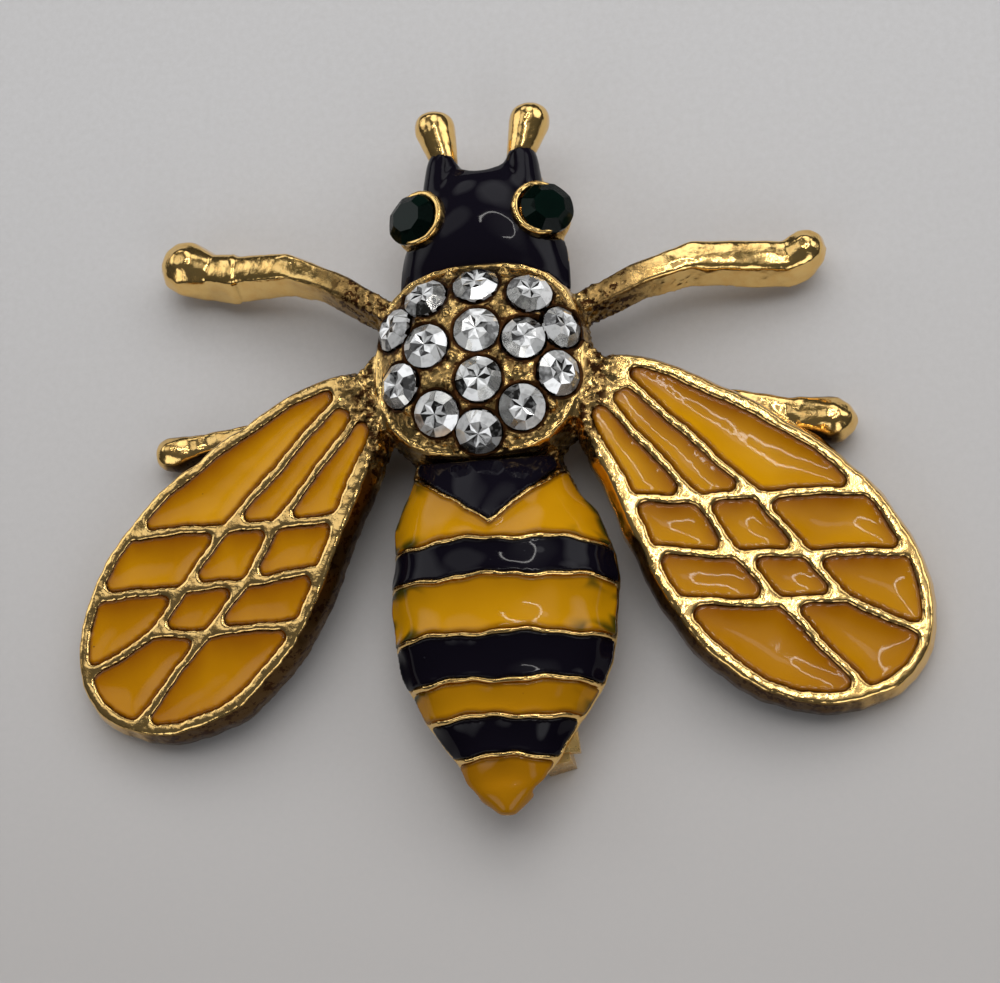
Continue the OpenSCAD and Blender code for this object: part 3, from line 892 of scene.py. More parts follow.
@dataclass
class Casting:
    """The one-piece casting, softened as a plated casting is and roughened where it is left rough.

    Lengths without MM are in millimetres. A range gives where a weight starts and where it is full.
    """

    finish: bpy.types.Material
    sway: Sway = Sway()
    overlap: float = 0.25 * MM
    soften: int = 3
    soften_free: int = 10
    fuller: float = 0.12 * MM
    seat_drop: float = 0.2 * MM
    collar_drop: float = 0.16 * MM
    stone_radius: float = 1.15
    eye_radius: float = 1.46
    stone_reach: float = 1.4
    far: float = 9.0
    relief_level: float = 0.6
    groove_width: int = 10
    seat: Range = (-0.05, -0.2)
    collar: Range = (0.6, 0.4)
    seam: Range = (0.4, 0.16)
    ground: Range = (0.0, 0.15)
    # Where the painted shade on the ground near the stones starts and where it is full.
    soiled_ground: Range = (0.6, 0.1)
    middle_foot: tuple[float, float] = (18.0, 1.4)
    foot_reach: Range = (2.4, 1.6)
    middle_leg_end: tuple[float, float] = (17.6, 1.2)
    leg_end_reach: Range = (3.0, 2.2)
    belly_rise: Range = (-0.2, -0.8)
    past_thorax: Range = (1.2, 1.45)
    past_rim: Range = (1.0, 1.1)
    side_from: Range = (0.93, 0.99)
    side_until: Range = (1.42, 1.12)
    inside_ring: Range = (0.93, 0.88)
    steep: Range = (0.84, 0.5)
    turned_in: Range = (0.6, 0.1)
    ground_roughness: float = 0.55
    smoother_foot: float = 0.75
    # How strong the painted shade is at the stones' seams, on the wing walls and at the roots.
    seam_depth: float = 0.12
    wall_depth: float = 0.085
    root_depth: float = 0.068
    antenna_soil: float = 0.8

    def build(self) -> None:
        """Dress the casting's sections."""
        for section in Section:
            piece = self.section(section)
            self.roughen(piece)
            self.paint_wear(piece)
            piece.data.materials.append(self.finish)
            hand_over(piece, "gold", "casting")

    def section(self, section: Section) -> bpy.types.Object:
        """Cut one section out of the casting and soften it.

        Args:
            section: Which one.

        Returns:
            Its closed and even mesh.
        """
        name, low, high, voxel = section.value
        piece = copy_of_node("casting", name)
        cut_away(piece, (Vector((low * MM - self.overlap, 0, 0)), Vector((-1, 0, 0))))
        cut_away(piece, (Vector((high * MM + self.overlap, 0, 0)), Vector((1, 0, 0))))
        apply(piece, "REMESH", mode="VOXEL", voxel_size=voxel * MM, use_smooth_shade=True)
        apply(piece, "SMOOTH", factor=0.5, iterations=self.soften)
        free = weigh(piece, "free", self.free_places(points_of(piece)))
        apply(piece, "SMOOTH", factor=0.5, iterations=self.soften_free, vertex_group=free)
        self.swell(piece, "full", self.full_places(points_of(piece)), self.fuller)
        self.swell(piece, "seats", ramp(self.from_stones(points_of(piece)), *self.seat), -self.seat_drop)
        self.swell(piece, "collars", ramp(self.from_eyes(points_of(piece)), *self.collar), -self.collar_drop)
        move_points(piece, self.sway.move(points_of(piece)))
        return piece

    def swell(self, piece: bpy.types.Object, name: str, weights: np.ndarray, height: float) -> None:
        """Push some places out of the surface.

        Args:
            piece: One section's mesh.
            name: The name of the places' vertex group.
            weights: One share for each point.
            height: How far they go out, or in where it is below zero.
        """
        group = weigh(piece, name, weights)
        apply(piece, "DISPLACE", strength=height, mid_level=0.0, vertex_group=group)

    def free_places(self, points: np.ndarray) -> np.ndarray:
        """Weigh the wings, the legs and the antennae.

        Args:
            points: One row for each point.

        Returns:
            One share for each point.
        """
        bound = (1.0 - belly(points, self.belly_rise)) * (1.0 - Place.HEAD.share(points))
        return ramp(thorax_ring(points), *self.past_thorax) * bound

    def full_places(self, points: np.ndarray) -> np.ndarray:
        """Weigh what is cast fuller than the frame has it: the antennae and three of the feet.

        Args:
            points: One row for each point.

        Returns:
            One share for each point.
        """
        feet = ramp(self.from_spot(points, self.middle_foot), *self.foot_reach)
        return np.maximum(feet, np.maximum(Place.ANTENNAE.share(points), Place.LEFT_FOOT.share(points)))

    def from_spot(self, points: np.ndarray, spot: tuple[float, float]) -> np.ndarray:
        """Measure how far points lie from a spot that both sides have, seen from above, in millimetres."""
        return np.hypot(np.abs(points[:, 0]) / MM - spot[0], points[:, 1] / MM - spot[1])

    def from_stones(self, points: np.ndarray) -> np.ndarray:
        """Measure how far out of the nearest thorax stone's girdle points lie, in millimetres."""
        return self.from_girdles(points, "thorax_stone_", self.stone_radius)

    def from_eyes(self, points: np.ndarray) -> np.ndarray:
        """Measure how far out of the nearest eye stone's girdle points lie, in millimetres."""
        return self.from_girdles(points, "_eye_stone", self.eye_radius)

    def from_girdles(self, points: np.ndarray, name: str, radius: float) -> np.ndarray:
        """Measure how far out of the nearest stone's girdle points lie.

        Args:
            points: One row for each point.
            name: What the stones' nodes have in their names.
            radius: The stones' radius in millimetres.

        Returns:
            Millimetres for each point, below zero under a stone.
        """
        nearest = np.full(len(points), self.far)
        for node in (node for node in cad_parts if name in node):
            centre, normal = (np.array(row) for row in table_of(node))
            from_table = (points - centre) / MM
            height = from_table @ normal
            reach = np.linalg.norm(from_table - height[:, None] * normal, axis=1) - radius
            nearest = np.minimum(nearest, np.where(np.abs(height) < self.stone_reach, reach, self.far))
        return nearest

    def rough_places(self, points: np.ndarray) -> np.ndarray:
        """Weigh the places that the caster left rough: the thorax's side, what joins it and its ground.

        Args:
            points: One row for each point.

        Returns:
            One share for each point.
        """
        ring = thorax_ring(points)
        side = ramp(ring, *self.side_from) * ramp(ring, *self.side_until) * Place.THORAX_SIDE.share(points)
        ground = ramp(ring, *self.inside_ring) * ramp(self.from_stones(points), *self.ground)
        return np.maximum(side, self.ground_roughness * ground)

    def leg_places(self, points: np.ndarray) -> np.ndarray:
        """Weigh the hammered front legs and the ends of the middle legs.

        Args:
            points: One row for each point.

        Returns:
            One share for each point.
        """
        smoother = 1.0 - self.smoother_foot * Place.LEFT_LEG_END.share(points)
        front = Place.FRONT_LEGS.share(points) * smoother
        ends = ramp(self.from_spot(points, self.middle_leg_end), *self.leg_end_reach)
        ends *= Place.MIDDLE_LEG_ENDS.share(points)
        return np.maximum(front, ends) * (1.0 - Place.LEFT_FOOT.share(points))

    def roughen(self, piece: bpy.types.Object) -> None:
        """Give the casting its lumps and hammer marks, and its rough side.

        Args:
            piece: One section's mesh.
        """
        points = points_of(piece)
        weigh(piece, "rough", self.rough_places(points))
        weigh(piece, "legs", self.leg_places(points))
        for relief in Relief:
            kind, size, depth, group = relief.value
            texture = bpy.data.textures.new(relief.name.lower(), kind)
            texture.noise_scale = size
            apply(piece, "DISPLACE", texture=texture, texture_coords="LOCAL", strength=depth,
                  mid_level=self.relief_level, vertex_group=group)
        move_points(piece, points_of(piece))

    def wing_walls(self, points: np.ndarray, normals: np.ndarray) -> np.ndarray:
        """Weigh the wings' side walls that face the body or the tail, where painted shade stands for the dim
        room that they mirror.

        Args:
            points: One row for each point.
            normals: The normals at the points.

        Returns:
            One share for each point.
        """
        steep = ramp(normals[:, 2], *self.steep)
        off_belly = ramp(np.abs(points[:, 0] - ABDOMEN_X) / MM, *reversed(BELLY_EDGE))
        inward = ramp(normals[:, 0] * np.sign(points[:, 0]), *self.turned_in)
        return steep * off_belly * inward * Place.WING_SIDES.share(points)

    def leg_roots(self, points: np.ndarray) -> np.ndarray:
        """Weigh the inner ends of the front legs and of the antennae, which get painted shade where they
        join the body.

        Args:
            points: One row for each point.

        Returns:
            One share for each point.
        """
        roots = Place.FRONT_LEG_ROOTS.share(points) * ramp(thorax_ring(points), *self.past_rim)
        antennae = Place.ANTENNAE.share(points) * Place.ANTENNA_ROOTS.share(points)
        return np.maximum(roots, self.antenna_soil * antennae)

    def paint_wear(self, piece: bpy.types.Object) -> None:
        """Keep the painted shade in grooves, on the wings' inner walls, at the stones' seams and at the
        roots, and where the gilt is browned by tarnish and painted shade.

        Args:
            piece: One section's mesh.
        """
        points = points_of(piece)
        # Painted shade on the wings' inner walls, at the roots, at the stones' seams and on the ground close
        # to the stones; it goes into the groove shade and, with the rough places' tarnish, into the
        # browning.
        shaded_walls = self.wing_walls(points, normals_of(piece))
        roots = self.leg_roots(points)
        seams = ramp(self.from_stones(points), *self.seam)
        between = ramp(thorax_ring(points), *self.inside_ring)
        between *= ramp(self.from_stones(points), *self.soiled_ground)
        deep = np.maximum(self.wall_depth * shaded_walls, self.root_depth * roots)
        deep = np.maximum(self.seam_depth * seams, deep)
        paint(piece, "hollow", np.maximum(hollows(piece, self.groove_width), deep))
        paint(piece, "tarnish_and_shade", np.clip(self.rough_places(points) + shaded_walls + roots + between, 0.0, 1.0))


# Enamel
class Pour(Enum):
    """How an enamel lies: dish over half width, creep up the wall, rounds of easing and of settling."""

    CELL = (0.17, 0.06, 90, 50)
    BAND = (0.15, 0.06, 10, 50)
    NECK = (0.05, 0.05, 30, 160)
    HEAD = (0.0, 0.03, 10, 50)


@dataclass
class Enamelling:
    """The enamel of the wings, the abdomen and the head."""

    yellow: bpy.types.Material
    band_yellow: bpy.types.Material
    black: bpy.types.Material
    sway: Sway = Sway()
    voxel: float = 0.09 * MM
    bond: float = 0.07 * MM
    cell_rise: float = 0.05 * MM
    back: float = 2.6 * MM
    rim_step: float = 0.06 * MM
    face_slope: float = 0.5
    facing: Range = (0.2, 0.55)
    facing_rounds: int = 4
    face_from: float = 0.3
    widest_from: float = 0.5
    widest: float = 98
    creep_reach: float = 0.14
    creep_rounds: int = 6
    end_rounds: int = 40
    broad_rounds: int = 260
    fine_rounds: int = 12
    trend_terms: tuple[int, int] = (5, 4)
    settled: Range = (0.08, 0.3)
    brow_height: float = 0.09 * MM
    brow: tuple[float, float] = (2.3, 11.6)
    brow_reach: tuple[float, float] = (0.8, 1.5)
    shade_reach: float = 1.2
    shade_column: float = 0.1 * MM
    bleed_most: float = 0.9
    bleed_out: Range = (3.5, 4.8)
    bleed_edge: Range = (0.7, 0.12)
    bleed_spots: Range = (0.3, 0.65)
    bleed_waves: tuple[Wave, Wave] = (Wave(1.0, 2.0, 3.1), Wave(1.0, 2.3, -1.7))
    last_band: str = "abdomen_enamel_8"
    tip_y: float = -18.55 * MM
    tip_fade: float = 0.7 * MM
    tip_past_rim: float = 2.0
    tip_end: float = -19.3
    tip_wider: float = 0.9
    tip_higher: float = 0.15
    tail_wider: tuple[float, float] = (0.42, 0.32)
    tail_narrows: float = 0.7

    def build(self) -> None:
        """Pour each piece of enamel."""
        for node in sorted(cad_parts):
            if "_cell_" in node:
                self.pour(node, Pour.CELL, self.yellow, "yellow_enamel")
            elif node.startswith("abdomen_enamel_"):
                dark = int(node.rsplit("_", 1)[1]) % 2 == 1
                pocket = Pour.NECK if node.endswith("_1") else Pour.BAND
                self.pour(node, pocket, self.black if dark else self.band_yellow,
                          "black_enamel" if dark else "yellow_enamel")
        self.pour("head_enamel", Pour.HEAD, self.black, "black_enamel")

    def outward(self, points: np.ndarray, pour: Pour) -> np.ndarray:
        """Tell which way is out of the pocket at each point.

        Args:
            points: One row for each point.
            pour: The kind of pocket.

        Returns:
            One unit row for each point.
        """
        way = np.zeros_like(points)
        way[:, 2] = 1.0
        if pour is not Pour.CELL:
            way = self.from_axis(points, pour)
        return way / np.linalg.norm(way, axis=1)[:, None]

    def from_axis(self, points: np.ndarray, pour: Pour) -> np.ndarray:
        """Measure how each point lies from the line that the body's face turns about.

        Args:
            points: One row for each point.
            pour: The kind of pocket.

        Returns:
            One row for each point, square to that line.
        """
        away = points - np.array((0.0 if pour is Pour.HEAD else ABDOMEN_X, 0.0, self.back))
        away[:, 1] = 0.0
        return away

    def even_out(self, piece: bpy.types.Object, points: np.ndarray, face: np.ndarray,
                 pour: Pour) -> np.ndarray:
        """Take the facets out of a curved face.

        Args:
            piece: The even mesh.
            points: Its points.
            face: True for each point of its face.
            pour: The kind of pocket.

        Returns:
            How far each point moves out of the pocket, in metres.
        """
        away = self.from_axis(points, pour)
        height = np.linalg.norm(away, axis=1)
        around = np.arctan2(away[:, 0], away[:, 2])
        along = points[:, 1]
        middle = (along[face].max() + along[face].min()) / 2
        along = (along - middle) / max(np.ptp(along[face]) / 2, 1e-6)
        rows, columns = self.trend_terms
        terms = np.column_stack([around ** i * along ** j for i in range(rows) for j in range(columns)])
        factors = np.linalg.lstsq(terms[face], height[face], rcond=None)[0]
        trend = terms @ factors
        left = np.where(face, height - trend, 0.0)[:, None]
        broad = neighbour_mean(piece, left, self.broad_rounds, face)[:, 0]
        fine = neighbour_mean(piece, left, self.fine_rounds, face)[:, 0]
        horn = Place.HORNS.share(points)
        return np.where(face, trend + broad * (1.0 - horn) + fine * horn - height, 0.0)

    def rim_points(self, piece: bpy.types.Object, pour: Pour) -> np.ndarray:
        """Find the edge where the enamel's face meets its wall.

        Args:
            piece: The merged copy of the node.
            pour: The kind of pocket.

        Returns:
            Points along that edge.
        """
        mesh = piece.data
        centres = np.array([face.center for face in mesh.polygons])
        normals = np.array([face.normal for face in mesh.polygons])
        top = (normals * self.outward(centres, pour)).sum(axis=1) > self.face_slope
        sides: dict[tuple[int, int], list[bool]] = {}
        for face in mesh.polygons:
            for pair in face.edge_keys:
                sides.setdefault(pair, []).append(bool(top[face.index]))
        found = []
        for (one, other), tops in sides.items():
            if len(set(tops)) == 2:
                start, end = mesh.vertices[one].co, mesh.vertices[other].co
                count = max(1, round((end - start).length / self.rim_step))
                found.extend(start.lerp(end, number / count) for number in range(count + 1))
        return np.array(found)

    def pour(self, node: str, pour: Pour, finish: bpy.types.Material, slot: str) -> None:
        """Make one enamel with a face that sinks away from its wall.

        Args:
            node: The node that it replaces.
            pour: The kind of pocket.
            finish: Its material.
            slot: The record's slot.
        """
        piece = copy_of_node(node, "poured_" + node)
        rim = self.rim_points(piece, pour)
        last = node == self.last_band
        self.even_mesh(piece, pour, last)
        points = points_of(piece)
        way = self.outward(points, pour)
        facing = ramp((normals_of(piece) * way).sum(axis=1), *self.facing)
        facing = neighbour_mean(piece, facing[:, None], self.facing_rounds)[:, 0]
        edge = self.from_rim(points, rim)
        drop = self.sunk(piece, edge, facing, pour)
        if last:
            drop *= ramp(points[:, 1], self.tip_y, self.tip_y + self.tip_fade)[:, None]
            edge = edge + self.tip_past_rim * ramp(points[:, 1], self.tip_y + 0.5 * MM, self.tip_y)
        lift = self.lifted(piece, points, facing, pour)
        move_points(piece, self.sway.move(points + way * (lift[:, None] - drop * MM)))
        face = weigh(piece, "face", facing * ramp(edge, *self.settled))
        apply(piece, "SMOOTH", factor=0.5, iterations=pour.value[3], vertex_group=face)
        paint(piece, "edge", edge)
        paint(piece, "upper", self.under_wall(points, rim))
        bled = self.bleeding(points, edge) if finish is self.band_yellow else np.zeros(len(points))
        paint(piece, "bleed", bled)
        piece.data.materials.append(finish)
        hand_over(piece, slot, node)

    def even_mesh(self, piece: bpy.types.Object, pour: Pour, last: bool) -> None:
        """Turn the node's copy into an even mesh that fills its pocket.

        Args:
            piece: The merged copy of the node.
            pour: The kind of pocket.
            last: True for the band at the tail.
        """
        if last:
            self.cover_tip(piece)
        apply(piece, "REMESH", mode="VOXEL", voxel_size=self.voxel, use_smooth_shade=True)
        apply(piece, "SMOOTH", factor=0.5, iterations=2)
        apply(piece, "DISPLACE", strength=self.bond, mid_level=0.0)
        if last:
            self.widen_tail(piece)
        if last or pour in (Pour.NECK, Pour.HEAD):
            ends = weigh(piece, "ends", self.soft_ends(points_of(piece), pour))
            apply(piece, "SMOOTH", factor=0.5, iterations=self.end_rounds, vertex_group=ends)

    def from_rim(self, points: np.ndarray, rim: np.ndarray) -> np.ndarray:
        """Measure how far points lie from the enamel's edge.

        Args:
            points: One row for each point.
            rim: Points along the enamel's edge.

        Returns:
            Millimetres for each point.
        """
        tree = kdtree.KDTree(len(rim))
        for number, point in enumerate(rim):
            tree.insert(point, number)
        tree.balance()
        return np.array([tree.find(point)[2] for point in points]) / MM

    def sunk(self, piece: bpy.types.Object, edge: np.ndarray, facing: np.ndarray, pour: Pour) -> np.ndarray:
        """Work out how far the face sinks as a dish, and away from the wall that it creeps up.

        Args:
            piece: The even mesh.
            edge: Each point's distance from the rim in millimetres.
            facing: How much each point belongs to the face.
            pour: The kind of pocket.

        Returns:
            One row of millimetres for each point.
        """
        dish, creep, easing, _ = pour.value
        half_width = np.percentile(edge[facing > self.widest_from], self.widest)
        from_wall = np.clip(edge / half_width, 0.0, 1.0)
        dished = dish * half_width * (1.0 - (1.0 - from_wall) ** 2) * facing
        crept = creep * (1.0 - np.exp(-edge / self.creep_reach)) * facing
        return (neighbour_mean(piece, dished[:, None], easing)
                + neighbour_mean(piece, crept[:, None], self.creep_rounds))

    def lifted(self, piece: bpy.types.Object, points: np.ndarray, facing: np.ndarray,
               pour: Pour) -> np.ndarray:
        """Work out how far the face rises: evenly in a cell, and over the facets of a curved face.

        Args:
            piece: The even mesh.
            points: Its points.
            facing: How much each point belongs to the face.
            pour: The kind of pocket.

        Returns:
            Metres for each point.
        """
        if pour is Pour.CELL:
            return self.cell_rise * facing
        lift = self.even_out(piece, points, facing > self.face_from, pour) * facing
        if pour is Pour.HEAD:
            lift += self.brows(points) * facing
        return lift

    def widen_tail(self, piece: bpy.types.Object) -> None:
        """Let the last band lie fuller over the tail's sides.

        Args:
            piece: The last band.
        """
        points = points_of(piece)
        side = np.where(points[:, 0] < ABDOMEN_X, *self.tail_wider) * Place.TAIL_SIDES.share(points)
        side *= 1.0 - self.tail_narrows * Place.TAIL_END.share(points)
        points[:, 0] += (points[:, 0] - ABDOMEN_X) * side
        move_points(piece, points)

    def soft_ends(self, points: np.ndarray, pour: Pour) -> np.ndarray:
        """Weigh the ends that are eased most: the tail's tip, the neck under the thorax and the horns.

        Args:
            points: One row for each point.
            pour: The kind of pocket.

        Returns:
            One share for each point.
        """
        ends = {Pour.BAND: Place.TAIL_TIP, Pour.NECK: Place.NECK_TOP, Pour.HEAD: Place.HORNS}
        return ends[pour].share(points)

    def brows(self, points: np.ndarray) -> np.ndarray:
        """Raise the head's enamel a little beside each eye, where it has piled up against the collar.

        Args:
            points: One row for each point.

        Returns:
            Metres for each point.
        """
        across, along = np.abs(points[:, 0]) / MM, points[:, 1] / MM
        beside = np.exp(-((across - self.brow[0]) / self.brow_reach[0]) ** 2)
        beside *= np.exp(-((along - self.brow[1]) / self.brow_reach[1]) ** 2)
        return self.brow_height * beside

    def cover_tip(self, piece: bpy.types.Object) -> None:
        """Let the last band run on over the casting's tip, and make the tip blunter.

        Args:
            piece: The last band.
        """
        tip = copy_of_node("casting", "tip")
        cut_away(tip, (Vector((0, self.tip_y, 0)), Vector((0, 1, 0))))
        cut_away(tip, (Vector((0, 0, self.back)), Vector((0, 0, -1))))
        points = points_of(tip)
        wide = ramp(points[:, 1], self.tip_y, self.tip_end * MM)
        points[:, 0] += (points[:, 0] - ABDOMEN_X) * self.tip_wider * wide
        points[:, 2] += (points[:, 2] - self.back) * self.tip_higher
        move_points(tip, points)
        select_only(piece)
        tip.select_set(True)
        bpy.ops.object.join()

    def bleeding(self, points: np.ndarray, edge: np.ndarray) -> np.ndarray:
        """Weigh where black has run into a yellow band, in spots at its ends.

        Args:
            points: One row for each point.
            edge: Each point's distance from the rim in millimetres.

        Returns:
            One share for each point.
        """
        centred = points - np.array((ABDOMEN_X, 0.0, 0.0))
        one, other = (wave.at(centred) for wave in self.bleed_waves)
        spots = ramp(0.5 + 0.5 * one * other, *self.bleed_spots)
        ends = ramp(np.abs(centred[:, 0]) / MM, *self.bleed_out) * ramp(edge, *self.bleed_edge)
        return self.bleed_most * ends * spots

    def under_wall(self, points: np.ndarray, rim: np.ndarray) -> np.ndarray:
        """Shade what lies close under the wall on the head's side.

        Args:
            points: One row for each point.
            rim: Points along the enamel's edge.

        Returns:
            From 1 at that wall to 0 far from it.
        """
        columns = np.rint(rim[:, 0] / self.shade_column).astype(int)
        highest: dict[int, float] = {}
        for column, along in zip(columns, rim[:, 1]):
            highest[column] = max(highest.get(column, along), along)
        keys = np.array(sorted(highest))
        tops = np.array([highest[key] for key in keys])
        wall = np.interp(points[:, 0] / self.shade_column, keys, tops)
        return np.exp(-np.clip(wall - points[:, 1], 0.0, None) / MM / self.shade_reach)


# Stones
@dataclass(frozen=True)
class Cut:
    """The proportions of a cut stone, as shares of its radius, and its facets' slopes.

    The slopes of the stars, the halves and the lower facets are shares of the main facets' slopes.
    """

    radius: float
    crown: float = 0.36
    table: float = 0.56
    pavilion: float = 0.46
    girdle: float = 0.05
    mains: int = 8
    pavilion_facets: int = 16
    halves_rise: float = 0.58
    halves_reach: float = 0.5
    stars: float = 0.62
    upper_pavilion: float = 1.1
    lower_pavilion: float = 0.75
    lower_point: tuple[float, float] = (0.5, 0.31)

    def facets(self) -> list[Plane]:
        """List the planes that the stone is ground to.

        Returns:
            The planes, from the table down.
        """
        top = self.crown * self.radius
        slope = math.atan2(self.crown, 1.0 - self.table)
        steep = math.atan2(self.halves_rise * self.crown, self.halves_reach * (1.0 - self.table))
        under = math.atan2(self.pavilion, 1.0)
        edge = Vector((self.radius, 0, 0))
        lower = Vector((self.radius, 0, -self.girdle * self.radius))
        star_edge = Vector((self.table * self.radius, 0, top))
        inner = Vector((self.lower_point[0] * self.radius, 0, -self.lower_point[1] * self.radius))
        planes: list[Plane] = [(Vector((0, 0, top)), Vector((0, 0, 1)))]
        rings = (
            (self.mains, 0.0, slope, edge, 1),
            (2 * self.mains, 0.25, steep, edge, 1),
            (self.mains, 0.5, self.stars * slope, star_edge, 1),
            (self.pavilion_facets, 0.0, self.upper_pavilion * under, lower, -1),
            (self.mains, 0.25, self.lower_pavilion * under, inner, -1),
        )
        for count, turn, tilt, point, side in rings:
            for number in range(count):
                spin = Matrix.Rotation(2 * math.pi * (number + turn) / count, 3, "Z")
                normal = Vector((math.sin(tilt), 0, side * math.cos(tilt)))
                planes.append((spin @ point, spin @ normal))
        return planes


@dataclass
class Lapidary:
    """The cut stones of the thorax and the eyes, and the foil behind them."""

    clear: bpy.types.Material
    foil: bpy.types.Material
    dark: bpy.types.Material
    clear_cut: Cut = Cut(1.15 * MM)
    eye_cut: Cut = Cut(1.46 * MM)
    growth_range: Range = (0.98, 1.045)
    table_sink: float = 0.1
    shard_rise: float = 0.2
    outline: int = 32
    back_slope: float = -0.2
    turn: float = 1.7
    first_seed: int = 40
    # The tones of the painted reflections and how often each is given.
    glints: tuple[float, ...] = (0.0, 0.4, 1.0)
    glint_shares: tuple[float, ...] = (0.36, 0.1, 0.54)

    def build(self) -> None:
        """Grind the stones and set each in its place."""
        clear = self.grind("clear_stone_pattern", self.clear_cut, self.clear, self.foil)
        eye = self.grind("eye_stone_pattern", self.eye_cut, self.dark, self.dark)
        for number, node in enumerate(sorted(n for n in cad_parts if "_stone" in n)):
            eyes = node.endswith("eye_stone")
            self.set_stone(node, eye if eyes else clear, "dark_stone" if eyes else "clear_stone", number)
        for pattern in (clear, eye):
            bpy.data.objects.remove(pattern)

    def grind(self, name: str, cut: Cut, face: bpy.types.Material,
              back: bpy.types.Material) -> bpy.types.Object:
        """Grind one stone at the origin.

        Args:
            name: The pattern's name.
            cut: Its proportions.
            face: The material of its crown.
            back: The material of its pavilion.

        Returns:
            The stone, with its girdle at the origin's height.
        """
        bpy.ops.object.select_all(action="DESELECT")
        bpy.ops.mesh.primitive_cylinder_add(vertices=self.outline, radius=cut.radius, depth=2 * cut.radius)
        stone = bpy.context.object
        stone.name = name
        for plane in cut.facets():
            cut_away(stone, plane)

        def tidy() -> None:
            """Join what lies in one plane."""
            bpy.ops.mesh.remove_doubles(threshold=0.002 * MM)
            bpy.ops.mesh.dissolve_limited(angle_limit=math.radians(1.0))
            bpy.ops.mesh.normals_make_consistent(inside=False)

        edit(stone, tidy)
        highest = max(point.co.z for point in stone.data.vertices)

        def split_table() -> None:
            """Part the table into shards, with its middle a little sunk."""
            bpy.ops.mesh.poke(offset=-self.table_sink * cut.radius)
            bpy.ops.mesh.poke(offset=self.shard_rise * self.table_sink * cut.radius)

        if face is self.clear:
            edit_where(stone, lambda side: side.center.z > highest - 0.01 * MM, split_table)
        stone.data.materials.append(face)
        stone.data.materials.append(back)
        for side in stone.data.polygons:
            side.material_index = 1 if side.normal.z < self.back_slope else 0
            side.use_smooth = False
        return stone

    def growth(self, node: str) -> float:
        """Tell how much a stone may grow until its girdle meets its nearest neighbour's.

        Args:
            node: The stone's node.

        Returns:
            The factor for its radius.
        """
        middles = {}
        for other in (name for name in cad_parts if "_stone" in name):
            centre, normal = table_of(other)
            middles[other] = centre - normal * self.clear_cut.crown * self.clear_cut.radius
        here = middles.pop(node)
        room = min((here - middle).length for middle in middles.values()) / 2
        least, most = self.growth_range
        return min(max(room / self.clear_cut.radius, least), most)

    def set_stone(self, node: str, pattern: bpy.types.Object, slot: str, number: int) -> None:
        """Set a copy of a stone where its node's table is.

        Args:
            node: The node that it replaces.
            pattern: The ground stone.
            slot: The record's slot.
            number: The stone's place in the list, which settles its turn and its glints.
        """
        centre, normal = table_of(node)
        stone = bpy.data.objects.new("cut_" + node, pattern.data.copy())
        bpy.context.scene.collection.objects.link(stone)
        height = max(point.co.z for point in pattern.data.vertices)
        size = self.growth(node) if slot == "clear_stone" else 1.0
        tilt = normal.to_track_quat("Z", "Y").to_matrix().to_4x4()
        turned = tilt @ Matrix.Rotation(self.turn * number, 4, "Z") @ Matrix.Diagonal((size, size, 1.0, 1.0))
        stone.data.transform(Matrix.Translation(centre) @ turned @ Matrix.Translation((0, 0, -height)))
        move_points(stone, points_of(stone))
        # Painted reflections: each facet is given a black, grey or white glint.
        glints = stone.data.attributes.new("glint", "FLOAT", "FACE")
        seeded = np.random.default_rng(self.first_seed + number)
        picks = seeded.choice(self.glints, len(stone.data.polygons), p=self.glint_shares)
        glints.data.foreach_set("value", picks.astype(np.float32))
        hand_over(stone, slot, node)


@dataclass
class EyeCups:
    """The gold cups of the eye stones, which stand out on the side towards the head's middle."""

    finish: bpy.types.Material
    radius: float = 1.57 * MM
    hole: float = 1.22 * MM
    depth: float = 1.0 * MM
    shift: float = 0.4 * MM
    rim_below_table: float = 0.42 * MM
    hole_depth: float = 0.6
    outline: int = 40
    ease: float = 0.1 * MM
    voxel: float = 0.07 * MM
    ripple_size: float = 0.35 * MM
    ripple_depth: float = 0.06 * MM
    soil: float = 0.2

    def build(self) -> None:
        """Make both cups."""
        for side in ("left", "right"):
            self.cup(side)

    def cup(self, side: str) -> None:
        """Turn one cup and set it under its stone.

        Args:
            side: Left or right.
        """
        centre, normal = table_of(side + "_eye_stone")
        bpy.ops.object.select_all(action="DESELECT")
        bpy.ops.mesh.primitive_cylinder_add(vertices=self.outline, radius=self.radius, depth=self.depth)
        cup = bpy.context.object
        cup.name = side + "_eye_cup"

        def sink() -> None:
            """Inset the top face and push it down."""
            bpy.ops.mesh.inset(thickness=self.radius - self.hole, depth=0.0)
            down = (0, 0, -self.hole_depth * self.depth)
            bpy.ops.mesh.extrude_region_move(TRANSFORM_OT_translate={"value": down})

        edit_where(cup, lambda face: face.normal.z > 0.9, sink)
        apply(cup, "BEVEL", width=self.ease, segments=3, limit_method="ANGLE", angle_limit=math.radians(50))
        apply(cup, "REMESH", mode="VOXEL", voxel_size=self.voxel, use_smooth_shade=True)
        apply(cup, "SMOOTH", factor=0.5, iterations=3)
        inward = Vector((1.0 if side == "left" else -1.0, 0, 0))
        inward = (inward - normal * inward.dot(normal)).normalized()
        tilt = normal.to_track_quat("Z", "Y").to_matrix().to_4x4()
        place = centre - normal * (self.rim_below_table + self.depth / 2) + inward * self.shift
        cup.data.transform(Matrix.Translation(place) @ tilt)
        texture = bpy.data.textures.new("cup ripples", "CLOUDS")
        texture.noise_scale = self.ripple_size
        apply(cup, "DISPLACE", texture=texture, texture_coords="LOCAL", strength=self.ripple_depth,
              mid_level=0.5)
        # Painted shade in the cup's grooves; its tarnish is even.
        paint(cup, "hollow", hollows(cup, 8))
        paint(cup, "tarnish_and_shade", np.full(len(cup.data.vertices), self.soil))
        cup.data.materials.append(self.finish)
        hand_over(cup, "gold")


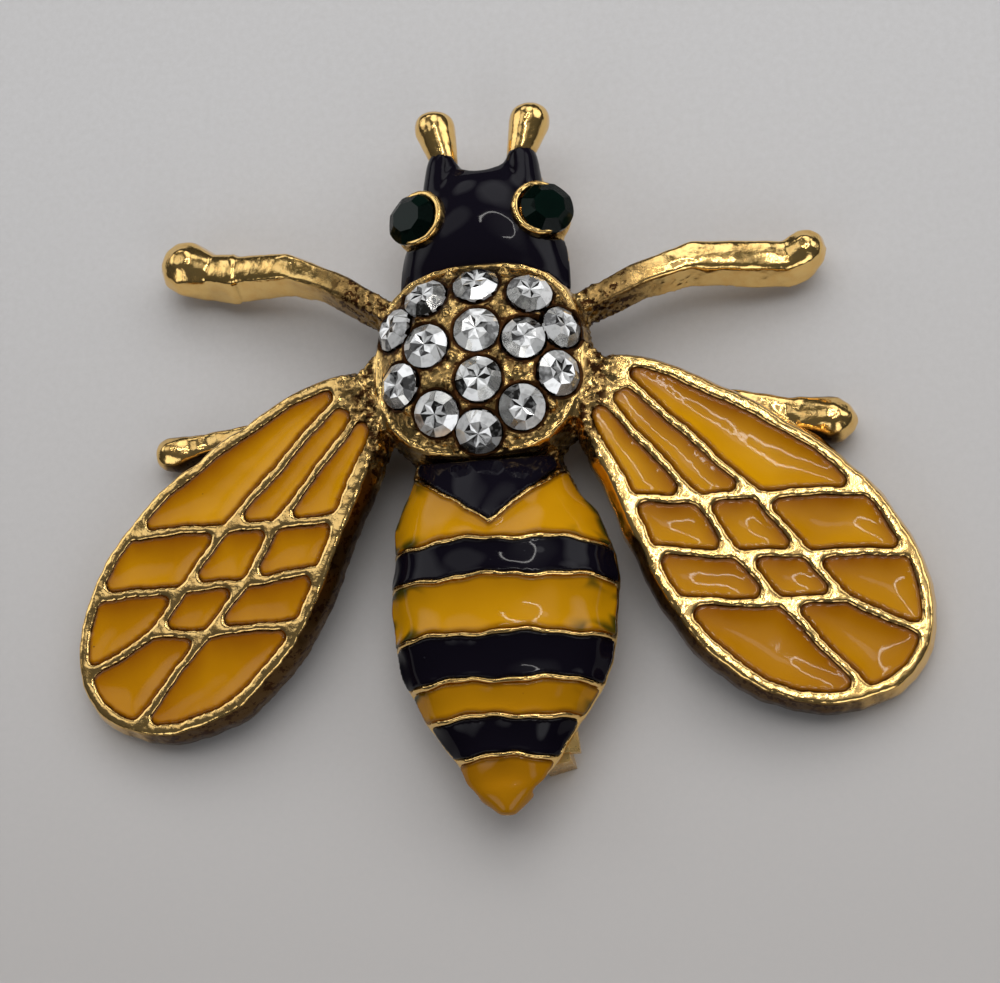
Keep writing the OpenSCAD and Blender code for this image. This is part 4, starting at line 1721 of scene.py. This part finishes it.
# The pin fitting
@dataclass
class PinFitting:
    """The plain fitting on the back."""

    finish: bpy.types.Material
    ease: float = 0.08 * MM
    catch_end: float = -16.6 * MM
    catch_taper: float = 0.5
    soil: float = 0.25

    def build(self) -> None:
        """Ease the fitting's edges, taper the catch where it shows beside the tail, and dress it."""
        piece = copy_of_node("pin_back", "pin_fitting")

        def join_planes() -> None:
            """Join what lies in one plane."""
            bpy.ops.mesh.dissolve_limited(angle_limit=math.radians(0.5))

        edit(piece, join_planes)
        apply(piece, "BEVEL", width=self.ease, segments=2, limit_method="ANGLE",
              angle_limit=math.radians(40))
        select_only(piece)
        bpy.ops.object.shade_smooth_by_angle(angle=math.radians(35))
        points = points_of(piece)
        in_sight = Place.CATCH_IN_SIGHT.share(points)
        points[:, 1] += (self.catch_end - points[:, 1]) * self.catch_taper * in_sight
        move_points(piece, points)
        paint(piece, "hollow", np.zeros(len(points)))
        paint(piece, "tarnish_and_shade", np.full(len(points), self.soil))
        piece.data.materials.append(self.finish)
        hand_over(piece, "pin_metal", "pin_back")


# Floor, light and camera
@dataclass(frozen=True)
class Panel:
    """A round bright or dark patch of the room."""

    way: tuple[float, float, float]
    half_angle: float
    soft: float
    level: float


@dataclass(frozen=True)
class Studio:
    """A pale floor under soft light, and the camera at the photograph's angle."""

    elevation: float = 69.5
    azimuth: float = 28.6
    roll: float = -0.53
    distance: float = 114.6 * MM
    target: tuple[float, float, float] = (0.0, -0.40 * MM, 3.8 * MM)
    target_px: tuple[float, float] = (484.05, 449.0)
    image_px: tuple[int, int] = (1000, 983)
    px_per_mm: float = 19.04
    sensor: float = 36.0
    lens_clip: Range = (5 * MM, 10.0)
    floor_size: float = 1.6
    # The floor's colours: darker near the camera as painted shade, paler far off.
    floor_near: Colour = (0.465, 0.446, 0.436)
    floor_far: Colour = (0.545, 0.54, 0.545)
    floor_weave: Colour = (0.44, 0.43, 0.425)
    floor_fade: Range = (-26 * MM, 24 * MM)
    floor_roughness: float = 0.6
    key_place: tuple[float, float, float] = (30, 170, 280)
    key_size: float = 420
    key_power: float = 0.92
    key_colour: Colour = (1.0, 0.985, 0.96)
    room_colour: Colour = (0.97, 0.98, 1.0)
    room_rise: Range = (0.0, 0.9)
    room_levels: Range = (0.04, 0.1)
    ring_glow: float = 20.0
    ring_colour: Colour = (1.0, 0.98, 0.95)
    ring_way: tuple[float, float, float] = (0.08, 0.21, 0.97)
    ring_distance: float = 600 * MM
    ring_radius: float = 124 * MM
    ring_tube: float = 5.5 * MM
    ring_gap: tuple[float, float] = (60.0, 40.0)
    panels: tuple[Panel, ...] = (
        Panel((0.26, 0.17, 0.95), 9, 12, 0.5),
        Panel((-0.45, 0.33, 0.83), 9, 5, 0.85),
        Panel((0.33, 0.21, 0.92), 2.6, 1.6, 1.8),
        Panel((0.10, 0.72, 0.69), 10, 8, 1.6),
        Panel((0.80, 0.30, 0.52), 11, 8, 1.8),
        Panel((-0.80, 0.42, 0.42), 12, 8, 1.3),
        Panel((0.45, -0.75, 0.48), 11, 8, 1.7),
        Panel((-0.45, -0.70, 0.55), 10, 8, 1.4),
        Panel((0.55, 0.62, 0.56), 7, 5, 1.4),
        Panel((-0.35, 0.80, 0.49), 6, 5, 1.2),
    )

    def build(self) -> None:
        """Put up the floor, the lights and the camera."""
        self.floor()
        self.world()
        self.ring_light()
        self.key_lamp()
        self.camera()

    def floor(self) -> None:
        """Lay the floor, with painted shade that darkens it towards the near side."""
        bpy.ops.object.select_all(action="DESELECT")
        bpy.ops.mesh.primitive_plane_add(size=self.floor_size)
        floor = bpy.context.object
        floor.name = "floor"
        material, nodes, shader = new_material("pale_board")
        place = nodes.place()
        # Painted shade: the floor is darker towards the near side.
        fade = nodes.spread(nodes.coordinate(place, "Y"), *self.floor_fade)
        board = nodes.blend(fade, self.floor_near, self.floor_far)
        weave = nodes.noise(place, scale=2600.0, detail=3.0, rough=0.7)
        weave = nodes.spread(weave, low=0.3, high=0.7, to_high=0.35)
        nodes.feed(shader, "Base Color", nodes.blend(weave, board, self.floor_weave))
        shader.inputs["Roughness"].default_value = self.floor_roughness
        floor.data.materials.append(material)

    def world(self) -> None:
        """Surround the brooch with a dim room that has a few bright panels for the metal to mirror."""
        world = bpy.data.worlds.new("room")
        world.use_nodes = True
        bpy.context.scene.world = world
        nodes = Nodes(world.node_tree)
        way = nodes.add("TexCoord").outputs["Generated"]
        level = nodes.spread(nodes.coordinate(way, "Z"), *self.room_rise, *self.room_levels)
        for panel in self.panels:
            towards = nodes.add("VectorMath", {"operation": "DOT_PRODUCT"})
            nodes.feed(towards, "0", way)
            nodes.feed(towards, "1", Vector(panel.way).normalized())
            outer = math.cos(math.radians(panel.half_angle + panel.soft))
            inner = math.cos(math.radians(panel.half_angle))
            glow = nodes.spread(towards.outputs["Value"], outer, inner, 0.0, panel.level)
            level = nodes.maths("ADD", level, glow)
        background = world.node_tree.nodes["Background"]
        nodes.feed(background, "Color", (*self.room_colour, 1.0))
        nodes.feed(background, "Strength", level)

    def ring_light(self) -> None:
        """Hang the open ring of light that the gloss mirrors."""
        bpy.ops.object.select_all(action="DESELECT")
        bpy.ops.mesh.primitive_torus_add(major_radius=self.ring_radius, minor_radius=self.ring_tube,
                                         major_segments=96, minor_segments=8)
        ring = bpy.context.object
        ring.name = "ring_light"
        middle, half = (math.radians(angle) for angle in self.ring_gap)

        def in_gap(face: bpy.types.MeshPolygon) -> bool:
            """Tell whether a face lies in the ring's gap."""
            return math.cos(math.atan2(face.center.y, face.center.x) - middle) > math.cos(half)

        edit_where(ring, in_gap, lambda: bpy.ops.mesh.delete(type="FACE"))
        way = Vector(self.ring_way).normalized()
        ring.data.transform(Matrix.Translation(way * self.ring_distance)
                            @ way.to_track_quat("Z", "Y").to_matrix().to_4x4())
        material, _, shader = new_material("lamp_glow")
        shader.inputs["Base Color"].default_value = (0, 0, 0, 1)
        shader.inputs["Emission Color"].default_value = (*self.ring_colour, 1.0)
        shader.inputs["Emission Strength"].default_value = self.ring_glow
        ring.data.materials.append(material)
        ring.visible_camera = False
        ring.visible_shadow = False
        ring.visible_diffuse = False

    def key_lamp(self) -> None:
        """Hang the soft square lamp that faces the brooch."""
        light = bpy.data.lights.new("key", "AREA")
        light.size = self.key_size * MM
        light.energy = self.key_power
        light.color = self.key_colour
        lamp = bpy.data.objects.new("key", light)
        bpy.context.scene.collection.objects.link(lamp)
        lamp.visible_glossy = False
        where = Vector(self.key_place) * MM
        lamp.matrix_world = Matrix.Translation(where) @ where.to_track_quat("Z", "Y").to_matrix().to_4x4()

    def camera(self) -> None:
        """Place the camera so that the brooch fills the same part of the picture."""
        lift, turn, lean = (math.radians(angle) for angle in (self.elevation, self.azimuth, self.roll))
        away = Vector((math.sin(turn) * math.cos(lift), -math.cos(turn) * math.cos(lift), math.sin(lift)))
        level_up = (Vector((0, 1, 0)) - away * away.y).normalized()
        level_right = (-away).cross(level_up)
        right = level_right * math.cos(lean) + level_up * math.sin(lean)
        up = level_up * math.cos(lean) - level_right * math.sin(lean)
        scale = self.px_per_mm / MM
        aside = right * ((self.target_px[0] - self.image_px[0] / 2) / scale)
        above = up * ((self.target_px[1] - self.image_px[1] / 2) / scale)
        data = bpy.data.cameras.new("camera")
        data.sensor_width = self.sensor
        data.lens = self.sensor * scale * self.distance / self.image_px[0]
        data.clip_start, data.clip_end = self.lens_clip
        camera = bpy.data.objects.new("camera", data)
        bpy.context.scene.collection.objects.link(camera)
        turned = Matrix((right, up, away)).transposed().to_4x4()
        stand = Vector(self.target) + away * self.distance - aside + above
        camera.matrix_world = Matrix.Translation(stand) @ turned
        bpy.context.scene.camera = camera


def main() -> None:
    """Build the brooch piece by piece, logging each piece's triangles and slot."""
    logging.basicConfig(level=logging.INFO, format="%(name)s %(message)s")
    bpy.context.scene.view_settings.view_transform = "Standard"
    Studio().build()
    effects = Effects.build()
    gold = PlatedGold().material(effects)
    pin_gold = PlatedGold(name="plain_gold", roughness=0.22, lumps=0.4, grain=0.4).material(effects)
    grit = (0.08, 0.03, 0.01)
    # Each enamel's shaded colour and wall colour are painted shade and painted shadow.
    yellow = Enamel("yellow_enamel", body=(0.68, 0.32, 0.001), deep=(0.27, 0.085, 0.001),
                    wall=(0.045, 0.014, 0.001), speck=grit)
    band_yellow = Enamel("band_yellow_enamel", body=(0.57, 0.265, 0.002), deep=(0.26, 0.095, 0.001),
                         wall=(0.06, 0.022, 0.001), speck=grit, upper=0.5, edge=0.8,
                         bright_until=-11 * MM, deep_from=-18 * MM)
    black = Enamel("black_enamel", body=(0.005, 0.004, 0.008), deep=(0.003, 0.002, 0.005),
                   wall=(0.003, 0.002, 0.003), speck=(0.02, 0.02, 0.025), specular=0.14, upper=0.3)
    Casting(gold).build()
    Enamelling(yellow.material(effects), band_yellow.material(effects), black.material(effects)).build()
    Lapidary(ClearGlass().material(), Foil().material(), DarkGlass().material()).build()
    EyeCups(gold).build()
    PinFitting(pin_gold).build()


if __name__ == "__main__":
    main()
